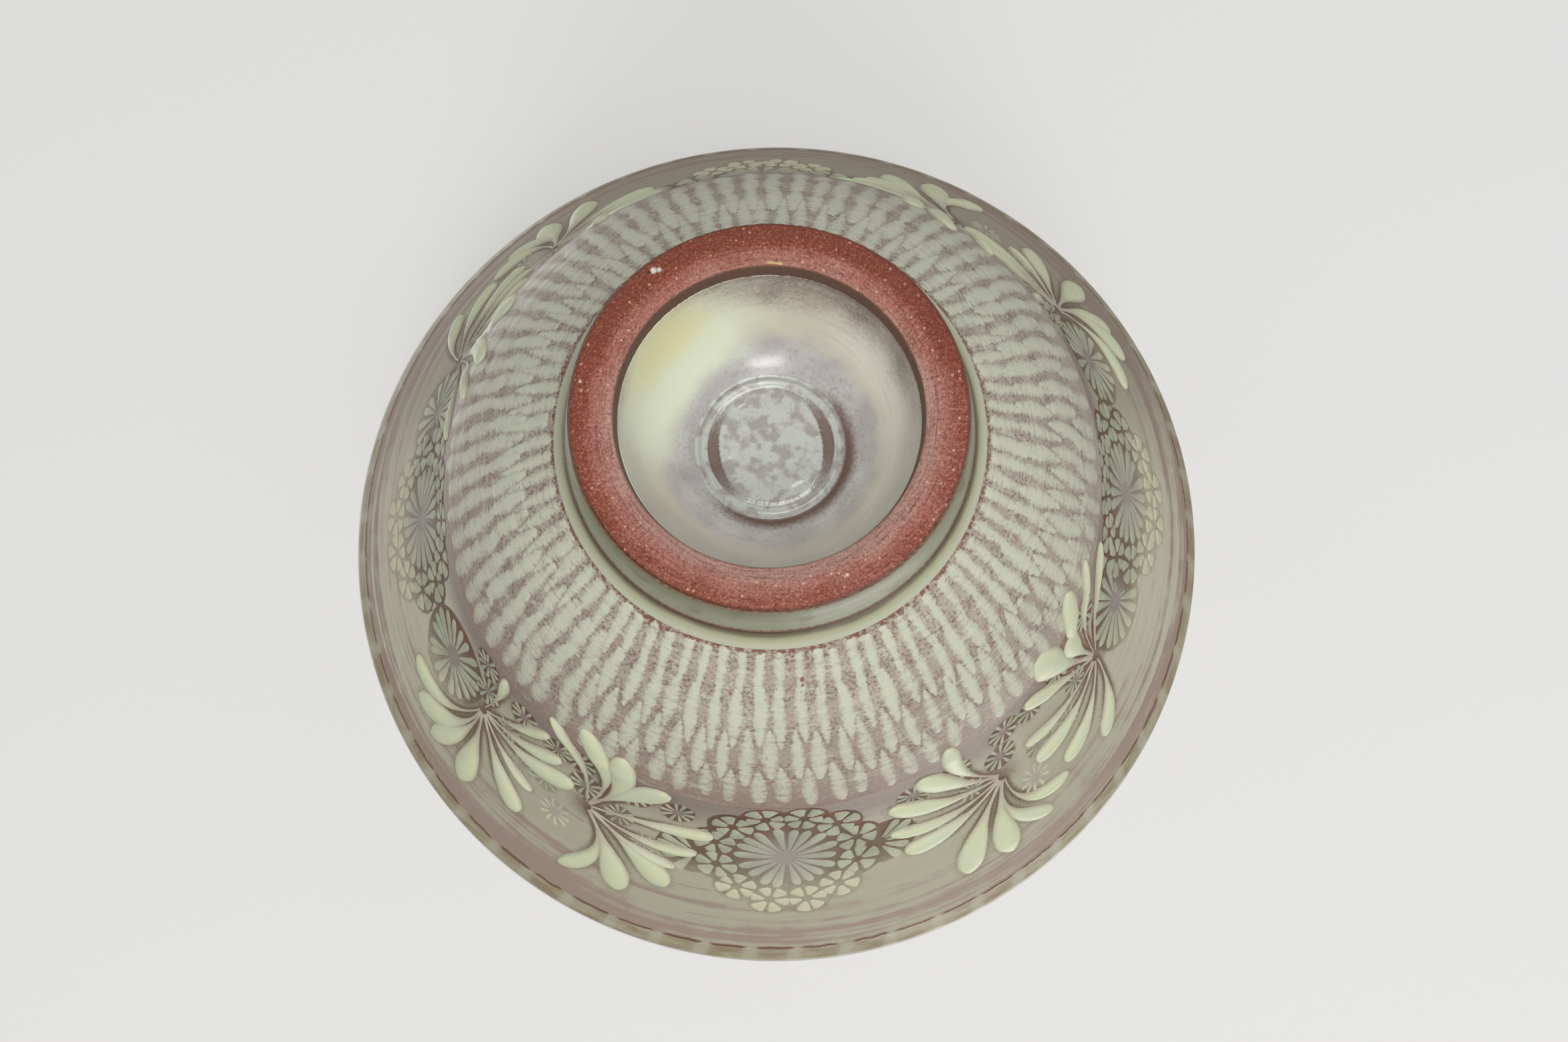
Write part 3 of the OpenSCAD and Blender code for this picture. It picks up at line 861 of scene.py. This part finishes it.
def pad_mounds(x, y):
    """Soft low lumps of pooled glaze, 0 to 1, with no figure in them."""
    draw = np.random.default_rng(91)
    waves = 40
    total = np.zeros(x.shape)
    for _ in range(waves):
        angle, pace, phase = draw.uniform(0, TURN), draw.uniform(2.0, 5.0), draw.uniform(0, TURN)
        total = total + np.cos(pace * (x * np.cos(angle) + y * np.sin(angle)) + phase)
    return smooth(total / np.sqrt(waves / 2), -1.5, 1.5)


# The lower wall and its strokes

# Rows: start and end from the join, phase at the first flower, drift, tapers at both ends, strength
STROKE_ROWS = (
    (0.1, 5.8, 0.0, 0, 0.10, 0.60, 1.0),
    (3.4, 9.0, 0.0, 1, 0.50, 0.70, 1.0),
    (7.2, 12.5, 0.5, 0, 0.70, 0.60, 1.0),
    (11.0, 15.1, 0.0, 1, 0.70, 0.50, 0.85),
)
STROKE_COUNT, STROKE_H, STROKE_TAPER_MIN = 78, 0.075, 0.03
# How much of its pitch a stroke fills, away from the first flower and near it
STROKE_FILL, STROKE_FILL_NEAR = 0.98, 0.78
# Rusty flecks: bearing in degrees and distance from the join
FLECKS = (
    (-56.2, 0.31), (-57.7, 0.52), (-59.3, 0.62), (-60.9, 0.52), (-62.4, 0.39), (-65.3, 2.81),
    (-97.4, 2.5), (-97.4, 2.8), (-97.3, 3.1),
)
FLECK_R = 0.17


def stroke_drift(az):
    """How many pitches a drifting row has moved: in line at the first flower, half out on the left."""
    turned = wrapped(az - FLOWER_AZ) % TURN
    return 0.5 * smooth(turned, 0.3, 1.2) + 0.5 * smooth(turned, 3.6, 5.0)


def lower_wall_looks(s, az):
    """What the lower wall's material reads, on the glaze and on the strokes."""
    up, below = s - S_JOIN, s - S_SHOULDER
    # The rusty ground lies thickest at the join and about the tips of each row, and the ground is darker
    # on the +X side
    tips = most(bell(up - start - 0.6, 1.1) for start, *_ in STROKE_ROWS[1:])
    dense = np.maximum(smooth(up, 3.0, 0.5), tips) + 0.35 + 0.25 * smooth(np.cos(az), -0.1, 0.7)
    # Painted shade towards the shoulder, less on the -X side
    shade = 0.4 * smooth(below, -11.0, -4.0) + 0.6 * smooth(below, -3.5, 0)
    shade = shade * (1 - 0.6 * smooth(-np.cos(az), 0.2, 0.9))
    # A ragged rusty line at the join, and the flecks
    rust = smooth(up, 0.52, 0.20) * (0.62 + 0.25 * RAGGED(az))
    fleck_places = ((wrapped(az - np.radians(degrees)) * OUTSIDE.r(s), up - at) for degrees, at in FLECKS)
    rust = rust + most(smooth(np.hypot(x, y), 1.3 * FLECK_R, 0.5 * FLECK_R) for x, y in fleck_places)
    return dict(flow=flow_of(s, az), dense=dense, shade=shade, rust=rust)


def make_body_glaze(material):
    s, az = round_grid(S_JOIN, S_SHOULDER, rows=118, columns=800)
    add_piece(
        "body_glaze", "ground_glaze", material, wall(s, az), SKIN_T, WIDE_BACK_ROWS,
        slip=0.0, **lower_wall_looks(s, az),
    )


def make_strokes(material):
    draw = np.random.default_rng(31)
    along, across = np.linspace(0, 1, 28), np.linspace(-1, 1, 9)
    ends = smooth(along, 0, 0.05) * smooth(along, 1, 0.92)
    pitch = TURN / STROKE_COUNT
    s_all, az_all, slip_all = [], [], []
    for start, end, phase, drift, a, b, strength in STROKE_ROWS:
        peak = a / (a + b)
        taper = (along**a * (1 - along) ** b) / (peak**a * (1 - peak) ** b)
        taper = np.maximum(taper, STROKE_TAPER_MIN)
        for i in range(STROKE_COUNT - drift):
            centre = FLOWER_AZ + pitch * (i + phase)
            centre += pitch * (drift * stroke_drift(centre) + draw.normal(0, 0.06))
            s0 = max(S_JOIN + start + draw.normal(0, 0.2), S_JOIN + 0.02)
            s1 = min(S_JOIN + end + draw.normal(0, 0.3), S_SHOULDER - 0.05)
            turned = wrapped(centre - FLOWER_AZ)
            away = np.maximum(smooth(turned, 0.25, 0.95), smooth(-turned, 0.6, 1.5))
            fill = STROKE_FILL_NEAR + (STROKE_FILL - STROKE_FILL_NEAR) * away
            half = fill * pitch / 2 * draw.uniform(0.85, 1.15)
            az = centre + pitch * draw.normal(0, 0.10) * (along - 0.5)
            s_all.append((s0 + (s1 - s0) * along)[:, None] + 0 * across)
            az_all.append(az[:, None] + half * taper[:, None] * across)
            slip_all.append(strength * draw.uniform(0.85, 1.1) * ends[:, None] * (1 - across**2))
    s, az, slip = np.array(s_all), np.array(az_all), np.array(slip_all)
    grid = wall(s, az, STROKE_H * slip - SINK)
    add_piece("stroke_inlay", "inlay_slip", material, grid, INLAY_T, slip=slip, **lower_wall_looks(s, az))


# The flower band

FLOWERS = FLOWER_AZ + turns(FLOWER_COUNT)
# The first large flower and the one opposite, which have the other stamps and the sprays round them
FACING = (FLOWER_AZ, FLOWER_AZ + np.pi)
FLORET_ANGLES = turns(FLORET_COUNT, 0.5)
FLORETS = spun(FLORET_RING_R, FLORET_ANGLES, 0.0)[:, :2]
# Plain flowers between a large one and the sprays: their bearings
SIDE_FLOWERS = [flower + az for flower in FACING for az in np.radians([-72.0, 66.4])]
# Half flowers at both ends of a large one: its bearing, offsets along the band and towards the lip
HALF_FLOWERS = [(flower, x, y) for flower in FACING for x, y in ((6.6, 0.5), (-6.7, 0.1))]
SPRAYS_BEFORE, SPRAYS_AFTER = np.radians([37.6, 62.4]), np.radians([33.5, 56.5])
# The bearing of each spray's root and the way that it sweeps, towards its flower
SPRAY_ROOTS = [
    root for flower in FACING
    for root in [(flower - az, 1) for az in SPRAYS_BEFORE] + [(flower + az, -1) for az in SPRAYS_AFTER]
]
# Small flowers stamped round a spray's root: along the sweep, towards the lip, radius and depth of tone
ROOT_FLOWERS = (
    (-1.4, -5.0, 1.5, 1.0), (-0.4, -2.3, 1.5, 1.0), (3.2, -4.4, 1.5, 1.0), (6.6, -4.3, 1.4, 0.9),
    (-2.1, 3.1, 1.5, 0.45), (-3.6, 0.3, 1.4, 0.7), (2.6, -1.0, 1.3, 0.8), (5.0, 1.2, 1.2, 0.6),
)
ROOT_FLOWER_PETALS, ROOT_FLOWER_EYE_R, ROOT_FLOWER_MAX = 10, 0.25, 1.55
PETAL_MIN_REACH, PETAL_MIN_HALF_W, PETAL_H = 1.2, 0.02, 0.04
# How soft a stamped disc's edge is, and how much of its tone is gone towards the lip
STAMP_SOFT, STAMP_FADE = 0.12, 0.62


def root_flowers():
    """The small flowers clear of the plain ones: their root's bearing, offsets, radius and tone."""
    for az, side in SPRAY_ROOTS:
        clear = min(abs(wrapped(f - az)) for f in SIDE_FLOWERS) * OUTSIDE.r(S_FLOWER)
        for x, y, r, tone in ROOT_FLOWERS:
            if np.hypot(x + clear, y) > SIDE_FLOWER_R + 0.6 * r:
                yield az, side * x, y, r, tone


def side_reach(az, angle):
    """How far a petal of a plain flower reaches before it meets the small flowers round a large one."""
    apart = min((wrapped(f - az) for f in FLOWERS), key=abs) * OUTSIDE.r(S_FLOWER)
    ring = FLORET_RING_R + FLORET_R
    inside = ring**2 - (apart * np.sin(angle)) ** 2
    if inside < 0 or apart * np.cos(angle) < 0:
        return SIDE_FLOWER_R
    return min(SIDE_FLOWER_R, apart * np.cos(angle) - np.sqrt(inside) - 0.1)


def stamps():
    """Every stamped disc: bearing of its origin, offsets on the band, radius and tone."""
    for az in FLOWERS:
        yield az, 0.0, 0.0, FLOWER_R + 0.15, 1.0
        for x, y in FLORETS:
            yield az, x, y, FLORET_R + 0.2, 1.0
    for az in SIDE_FLOWERS:
        yield az, 0.0, 0.0, SIDE_FLOWER_R + 0.15, 0.9
    for az, x, y in HALF_FLOWERS:
        yield az, x + 0.6 * np.sign(x), y, HALF_FLOWER_R - 0.5, 0.95
    for az, x, y, r, tone in root_flowers():
        yield az, x, y, r - 0.05, 0.85 * tone


def stamp_tone(s, az):
    """How deeply the ground is stamped at a place, 0 to 1, fainter towards the lip; painted shade round
    spray roots.
    """
    discs = most(
        tone * smooth(distance(s, az, disc_az, x, y), r + STAMP_SOFT, r - STAMP_SOFT)
        for disc_az, x, y, r, tone in stamps()
    )
    discs = discs * (1 - STAMP_FADE * smooth(s - S_FLOWER, -1.5, 5.0))
    # Round each spray's root the ground is pressed in and darkened: painted shade where the leaves crowd
    roots = ((off_origin(s, az, root_az), side) for root_az, side in SPRAY_ROOTS)
    return np.maximum(discs, most(0.8 * bell(x - side, 2.6) * bell(y, 1.9) for (x, y), side in roots))


def flower_haze(s, az):
    """1 at the middle of a flower, where its lines run together, and 0 away from it."""
    middles = [(f, 0, 0, 2.5, 1.0) for f in FLOWERS] + [(f, 0, 0, 1.6, 0.8) for f in SIDE_FLOWERS]
    middles += [(root_az, x, y, 0.35 * r, 0.7) for root_az, x, y, r, _ in root_flowers()]
    return most(tone * bell(distance(s, az, f, x, y), width) for f, x, y, width, tone in middles)


def near_flower(az, far, near_to):
    """1 as near a large flower along the shoulder as the second distance, 0 beyond the first."""
    near = np.min([np.abs(wrapped(az - f)) for f in FLOWERS], axis=0)
    return smooth(near * SHOULDER[0], far, near_to)


def band_looks(s, az):
    """What the band's material reads, on the glaze and on the flowers."""
    return dict(
        flow=flow_of(s, az), haze=flower_haze(s, az), blush=1 - near_flower(az, 14.0, 6.0),
        beside=beside(az), behind=behind(az), up=(s - S_SHOULDER) / (S_LIP_LINE - S_SHOULDER),
    )


def make_band_glaze(material):
    s, az = round_grid(S_SHOULDER, S_LIP_LINE, rows=104, columns=900)
    tone = stamp_tone(s, az)
    add_piece(
        "band_glaze", "ground_glaze", material, wall(s, az, -STAMP_DEPTH * tone), SKIN_T, WIDE_BACK_ROWS,
        # The stamped lines, with the painted shade beside the leaves
        slip=0.0, stamp=np.maximum(tone, leaf_shade(s, az)), **band_looks(s, az),
        rust=0.75 * smooth(s - S_SHOULDER, 0.25, 0.0) * near_flower(az, 6.5, 4.0),
    )


def flower_petals():
    """Every petal: its flower's bearing and middle on the band, its angle, ends, pitch and tone."""
    ring, cells, root_ring = turns(PETAL_COUNT), turns(FLORET_PETALS, 0.5), turns(ROOT_FLOWER_PETALS)
    neighbour = FLORET_RING_R * np.sin(np.pi / FLORET_COUNT)
    for az in FLOWERS:
        for angle in ring:
            yield az, 0, 0, angle, FLOWER_EYE_R, FLOWER_R, TURN / PETAL_COUNT, 0.95
        for turn, (x, y) in zip(FLORET_ANGLES, FLORETS):
            for cell in cells:
                reach = min(FLORET_R, (neighbour + 0.1) / max(abs(np.sin(cell)), 0.1))
                if np.cos(cell) < -0.1:
                    reach = min(reach, (FLORET_RING_R - FLOWER_R) / -np.cos(cell))
                yield az, x, y, turn + cell, FLORET_EYE_R, reach, TURN / FLORET_PETALS, 1.0
    for az in SIDE_FLOWERS:
        for angle in ring:
            reach = side_reach(az, angle)
            if reach > PETAL_MIN_REACH:
                yield az, 0, 0, angle, FLOWER_EYE_R, reach, TURN / PETAL_COUNT, 0.85
    fan_pitch = HALF_FLOWER_FAN / HALF_FLOWER_PETALS
    fan = fan_pitch * (np.arange(HALF_FLOWER_PETALS) + 0.5) - HALF_FLOWER_FAN / 2
    for az, x, y in HALF_FLOWERS:
        for angle in fan if x > 0 else fan + np.pi:
            yield az, x, y, angle, HALF_FLOWER_EYE_R, HALF_FLOWER_R, fan_pitch, 0.9
    for az, x, y, r, tone in root_flowers():
        for angle in root_ring:
            yield az, x, y, angle, ROOT_FLOWER_EYE_R, r, TURN / ROOT_FLOWER_PETALS, 0.6 + 0.25 * tone


def make_flowers(material):
    draw = np.random.default_rng(41)
    az0, x0, y0, angle, r0, r1, pitch, tone = (np.array(c)[:, None, None] for c in zip(*flower_petals()))
    u, v = np.linspace(0, 1, 11)[None, :, None], np.linspace(-1, 1, 7)[None, None, :]
    angle = angle + draw.normal(0, 0.04, angle.shape)
    reach = r0 + (r1 * draw.uniform(0.92, 1.04, r1.shape) - r0) * u
    cap = np.sqrt(1 - 0.97 * smooth(u, 0.70, 1.0) ** 2)
    line_w = STAMP_LINE_W * np.where(r1 > ROOT_FLOWER_MAX, 0.5 + 0.9 * u, 0.6 + 1.9 * u)
    width = np.maximum(np.tan(pitch / 2) * reach - line_w / 2, PETAL_MIN_HALF_W) * cap
    x = x0 + reach * np.cos(angle) + v * width * np.sin(angle)
    y = y0 + reach * np.sin(angle) - v * width * np.cos(angle)
    s, az = on_wall(x, y, az0, S_FLOWER)
    slip = tone * (1 - v**6) * smooth(u, -0.02, 0.25) * smooth(u, 1.0, 0.9)
    s = np.clip(s, S_SHOULDER - 1.2, S_LIP_LINE)
    below = STAMP_DEPTH + 0.01
    add_piece(
        "flower_inlay", "inlay_slip", material, wall(s, az, (below + PETAL_H) * slip - below), INLAY_T,
        slip=slip, stamp=stamp_tone(s, az), rust=0.0, **band_looks(s, az),
    )


# The sprays of trailed leaves

# Leaves of each spray: bearing from the sweep towards the lip in degrees, length, width, bow per length
LEAVES = (
    (
        (-71, 8.8, 1.6, 0.13), (-45, 8.8, 2.0, 0.06), (-22, 9.4, 1.8, 0.05), (-3, 9.6, 1.2, 0.07),
        (14, 9.7, 1.6, 0.06), (53, 9.6, 2.4, -0.04), (78, 8.5, 2.3, -0.06), (108, 7.8, 1.4, -0.24),
        (129, 7.6, 1.3, -0.26),
    ),
    (
        (-139, 9.4, 1.0, 0.06), (-116, 9.9, 1.0, 0.10), (-97, 9.9, 1.9, 0.12), (-68, 9.8, 3.0, 0.05),
        (-80, 6.4, 2.1, 0.03), (-35, 8.7, 1.6, 0.00), (-9, 8.9, 0.9, 0.03), (10, 9.5, 1.6, 0.06),
        (33, 9.0, 1.6, 0.10), (58, 8.2, 1.5, 0.12),
    ),
    (
        (-119, 9.5, 1.1, 0.13), (-100, 9.8, 2.0, 0.18), (-79, 9.4, 2.1, 0.13), (-48, 9.1, 2.2, -0.04),
        (-11, 9.7, 1.3, -0.05), (3, 9.0, 0.9, 0.05), (19, 8.6, 0.9, 0.05), (38, 9.5, 2.2, -0.05),
        (62, 8.9, 2.3, -0.04), (91, 8.2, 1.4, -0.25),
    ),
    (
        (-87, 6.9, 1.0, 0.05), (-44, 7.9, 1.2, 0.05), (-24, 8.3, 1.4, 0.06), (-8, 9.5, 2.0, 0.07),
        (21, 7.6, 0.8, 0.04), (42, 9.1, 1.9, 0.03), (76, 9.0, 2.3, -0.03), (105, 8.6, 1.9, -0.10),
        (123, 9.0, 2.0, -0.18), (144, 9.2, 1.6, -0.20),
    ),
)
LEAF_ROOT, LEAF_MIN_HALF_W, LEAF_SINK = 0.5, 0.02, 0.05
# Length of a leaf's tip in half widths, and at least
TIP, TIP_MIN = 1.5, 1.4
ALONG = 1 - (1 - np.linspace(0, 1, 36)) ** 1.6
# The painted shade beside a leaf: how far from its root it lies at most, tone, fading to the tip, width
SHADE_REACH, SHADE_TONE, SHADE_FADE, SHADE_W = 12, 0.88, 0.62, 0.42


def leaf_line(bearing, length, bow, u):
    """Points along a leaf's middle, from its root to its tip, as (along the sweep, towards the lip)."""
    ahead = np.array([np.cos(bearing), np.sin(bearing)])
    aside = np.array([-ahead[1], ahead[0]])
    knee = length * (0.55 * ahead + 2 * bow * aside)
    start = LEAF_ROOT * knee / np.linalg.norm(knee)
    u = u[:, None]
    return (1 - u) ** 2 * start + 2 * u * (1 - u) * knee + u**2 * length * ahead


def trailed_leaves():
    """Every trailed leaf: its root's bearing, sweep, middle line, half widths, swell, cap and width."""
    draw = np.random.default_rng(51)
    swell = 0.13 + 0.87 * smooth(ALONG, 0.15, 0.80)
    for i, (az, side) in enumerate(SPRAY_ROOTS):
        for degrees, length, width, bow in LEAVES[i % len(LEAVES)]:
            length *= draw.uniform(0.96, 1.02)
            half = width / 2 * draw.uniform(1.0, 1.15)
            line = leaf_line(np.radians(degrees + draw.normal(0, 1.5)), length, bow, ALONG)
            tip = max(TIP * half, TIP_MIN)
            past_end = np.maximum(ALONG - (1 - tip / length), 0) * length / tip
            cap = np.sqrt(np.maximum(1 - past_end**2, 0))
            yield az, side, line, np.maximum(half * swell * cap, LEAF_MIN_HALF_W), swell, cap, width


def leaf_shade(s, az):
    """Painted shade along the leaves, darkest between them at their root."""
    shade = np.zeros(s.shape)
    fade = SHADE_TONE * (1 - SHADE_FADE * smooth(ALONG, 0.15, 0.95))
    for root_az, side, line, half, *_ in trailed_leaves():
        x, y = off_origin(s, az, root_az)
        close = (np.abs(x) < SHADE_REACH) & (np.abs(y) < SHADE_REACH)
        gap = np.hypot(side * x[close][:, None] - line[:, 0], y[close][:, None] - line[:, 1]) - half
        dark = fade * bell(np.maximum(gap, 0), SHADE_W)
        shade[close] = np.maximum(shade[close], dark.max(1))
    return shade


def make_sprays(material):
    across = np.linspace(-1, 1, 11)
    dome = (1 - across**2) ** 0.8
    grids, crowns = [], []
    for az0, side, line, half, swell, cap, width in trailed_leaves():
        ahead = np.gradient(line, axis=0)
        ahead /= np.linalg.norm(ahead, axis=1)[:, None]
        x = line[:, :1] + across * half[:, None] * ahead[:, 1:]
        y = line[:, 1:] - across * half[:, None] * ahead[:, :1]
        s, az = on_wall(side * x, y, az0, S_FLOWER)
        lift = LEAF_H * (0.08 + 0.92 * swell * cap**0.7)[:, None] * dome - LEAF_SINK
        pale = (0.6 + 0.4 * smooth(width, 0.9, 1.8)) * swell * smooth(cap, 0, 0.5)
        grids.append(wall(s, az, lift)[:, ::side])
        crowns.append((dome * pale[:, None])[:, ::side])
    add_piece("slip_sprays", "trailed_slip", material, np.array(grids), LINE_T, crown=np.array(crowns))


# The lip, the rim and the inside

DASH_COUNT, DASH_HALF_W, DASH_MIN_HALF_W = 56, 0.22, 0.03
DASH_H, DASH_SINK, DASH_WANDER = 0.06, 0.015, 0.05
GAP_HALF_W, GAP_LEAN = 0.6, 0.2
INNER_RING_H = 0.05


def dashes():
    """The bearing and half length, in radians, of each dash of the lip line."""
    draw = np.random.default_rng(61)
    pitch = TURN / DASH_COUNT
    return [
        (pitch * (i + draw.normal(0, 0.05)), pitch / 2 * draw.uniform(0.76, 0.95))
        for i in range(DASH_COUNT)
    ]


def make_lip_line(material):
    draw = np.random.default_rng(62)
    along, across = np.linspace(-1, 1, 25), np.linspace(-1, 1, 7)[:, None]
    grids, edges = [], []
    for centre, half_turn in dashes():
        az = (centre + half_turn * along)[None, :]
        half = DASH_HALF_W * draw.uniform(0.75, 1.2) * (1 - along**6) ** 0.5 + DASH_MIN_HALF_W
        s = S_LIP_LINE + DASH_WANDER * RAGGED(az) + across * half
        grids.append(wall(s, az, DASH_H * (1 - across**2) - DASH_SINK))
        edges.append(np.maximum(np.abs(across), 1.05 * np.abs(along) ** 4))
    add_piece("lip_line", "lip_line", material, np.array(grids), LINE_T, edge=np.array(edges))


def make_rim_band(material):
    s, az = round_grid(S_LIP_LINE, S_RIM, rows=46, columns=800)
    past = (wrapped(az - centre - np.pi / DASH_COUNT) * RIM_R for centre, _ in dashes())
    gap = most(bell(x - GAP_LEAN * (s - S_LIP_LINE), GAP_HALF_W) for x in past)
    add_piece(
        "rim_band", "rim_glaze", material, wall(s, az), flow=flow_of(s, az),
        gap=gap * smooth(s, S_RIM - 0.8, S_RIM - 1.8), edge=smooth(s, S_RIM - 1.9, S_RIM - 0.5),
    )


def make_inner_glaze(material):
    s, az = round_grid(0, LINING.length - 0.02, rows=160, columns=560)
    r = LINING.r(s)
    rings = Ripple(71, (0, 2), (1.6, 4.5), 14)
    settle = smooth(s, 0.0, 2.0)
    lift = (1 - settle) * unevenness(S_RIM, az) + INNER_RING_H * settle * smooth(r, 0, 4) * rings(az, s)
    add_piece(
        "inner_glaze", "inner_glaze", material, LINING.place(s, az, lift), flow=flow_of(s, az),
        pool=smooth(r, 15, 6), edge=smooth(s, 1.3, 0.2),
    )


# Stage, light and camera

PHOTO_WIDTH, FOCAL_PX = 2359, 5000
SENSOR_W = 36.0
CAMERA_AT = np.array([-3.13, -60.44, -214.42])
CAMERA_AIM = np.array([-0.80, -2.53, 20.0])
CAMERA_CLIP = 10

# Lamps: place, width and depth, and power in watts
LAMPS = {
    "key_below": ((-75, -110, -400), (260, 260), 0.885),
    "spark_below": ((-15, -330, -290), (165, 56), 0.33),
    "key_above": ((-150, -200, 420), (260, 260), 1.1),
    "fill_above": ((180, 130, 400), (300, 300), 0.7),
}
LAMP_AIM = Vector((0, 0, 15))
SKY, SKY_STRENGTH = (235, 235, 235), 0.55

FLOOR_R, COVE_R = 600.0, 700.0
CARD_Z, CARD_R, CARD_GAP = 33.0, 400.0, 0.05
PAPER, PAPER_GLOW = (205, 204, 202), 0.2


def add_camera():
    """The photo's camera: under the cup, which stands upright here and upside down in the photo."""
    data = bpy.data.cameras.new("camera")
    data.sensor_width = SENSOR_W
    data.lens = SENSOR_W * FOCAL_PX / PHOTO_WIDTH
    data.clip_start = CAMERA_CLIP * MM
    camera = bpy.data.objects.new("camera", data)
    ahead = Vector(CAMERA_AIM - CAMERA_AT).normalized()
    right = ahead.cross(Vector((0, 1, 0))).normalized()
    up = right.cross(ahead)
    turn = Matrix((right, up, -ahead)).transposed().to_4x4()
    camera.matrix_world = Matrix.Translation(Vector(CAMERA_AT) * MM) @ turn
    bpy.context.scene.collection.objects.link(camera)
    bpy.context.scene.camera = camera


def add_lamps():
    for name, (at, size, power) in LAMPS.items():
        data = bpy.data.lights.new(name, "AREA")
        data.shape = "RECTANGLE"
        data.size, data.size_y = (side * MM for side in size)
        data.energy = power
        lamp = bpy.data.objects.new(name, data)
        lamp.location = Vector(at) * MM
        lamp.rotation_euler = (LAMP_AIM - Vector(at)).to_track_quat("-Z", "Y").to_euler()
        bpy.context.scene.collection.objects.link(lamp)


def add_world():
    world = bpy.data.worlds.new("studio")
    world.use_nodes = True
    background = world.node_tree.nodes["Background"]
    background.inputs["Color"].default_value = tint(*SKY)
    background.inputs["Strength"].default_value = SKY_STRENGTH
    bpy.context.scene.world = world


def paper_material():
    """Paper with a slight glow, which is clear from behind."""
    sh = Shader("stage_paper")
    sh.tree.nodes.remove(sh.bsdf)
    paper = sh.add("BsdfDiffuse", {"Color": tint(*PAPER)})
    glow = sh.add("Emission", {"Strength": PAPER_GLOW})
    front = sh.add("AddShader", {0: paper, 1: glow})
    rear = sh.add("BsdfTransparent", {})
    turned = sh.add("NewGeometry", {}, "Backfacing")
    surface = sh.add("MixShader", {0: turned, 1: front, 2: rear})
    sh.feed(sh.tree.nodes["Material Output"], {"Surface": surface})
    return sh.material


def add_sheet(name, grid, material):
    """A part of the stage that is seen from one side only and gives no light of its own."""
    rows, columns, _ = grid.shape
    mesh = bpy.data.meshes.new(name)
    mesh.from_pydata((grid * MM).reshape(-1, 3).tolist(), [], quads(1, rows, columns, True).tolist())
    mesh.polygons.foreach_set("use_smooth", np.ones(len(mesh.polygons), bool))
    mesh.materials.append(material)
    sheet = bpy.data.objects.new(name, mesh)
    for light in ("diffuse", "glossy", "transmission", "shadow"):
        setattr(sheet, "visible_" + light, False)
    bpy.context.scene.collection.objects.link(sheet)
    sheet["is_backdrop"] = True


def add_floor(material):
    """A wide floor that curves up all round, seen only from above."""
    flat = np.array([[0.01, 0], [FLOOR_R, 0]])
    run = joined(flat, arc(np.array([FLOOR_R, COVE_R]), COVE_R, -90, 0))[::-1]
    add_sheet("floor", spun(run[:, :1], turns(96), run[:, 1:]), material)


def add_card(material):
    """A card round the rim, opened to the rim's outline as the camera sees it, seen only from below."""
    az = turns(256)
    rim = spun(RIM_R + CARD_GAP, az, lip_middle[1])
    share = (CARD_Z - CAMERA_AT[2]) / (rim[:, 2:] - CAMERA_AT[2])
    opening = CAMERA_AT + share * (rim - CAMERA_AT)
    add_sheet("backdrop", np.stack([opening, spun(CARD_R, az, CARD_Z)]), material)


def build():
    add_camera()
    add_world()
    add_lamps()
    paper = paper_material()
    add_floor(paper)
    add_card(paper)

    clay, body, band = clay_material(), body_material(), band_material()
    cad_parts["clay_body"].data.materials.clear()
    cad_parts["clay_body"].data.materials.append(clay)
    make_foot_ring(clay)
    make_pad(pad_material())
    make_well_glaze(well_material())
    make_foot_glaze(foot_glaze_material())
    make_foot_line(line_material("iron_line", (84, 58, 44), (140, 120, 96)))
    make_body_glaze(body)
    make_strokes(body)
    make_band_glaze(band)
    make_flowers(band)
    make_sprays(leaf_material())
    make_lip_line(line_material("lip_line", (108, 76, 58), (158, 134, 114)))
    make_rim_band(rim_material())
    make_inner_glaze(inner_material())


build()
bpy.context.scene.view_settings.view_transform = "Standard"
boxes = {"cad": CAD_BOX, "visual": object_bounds()}
{key: [[float(x) for x in corner] for corner in box] for key, box in boxes.items()}
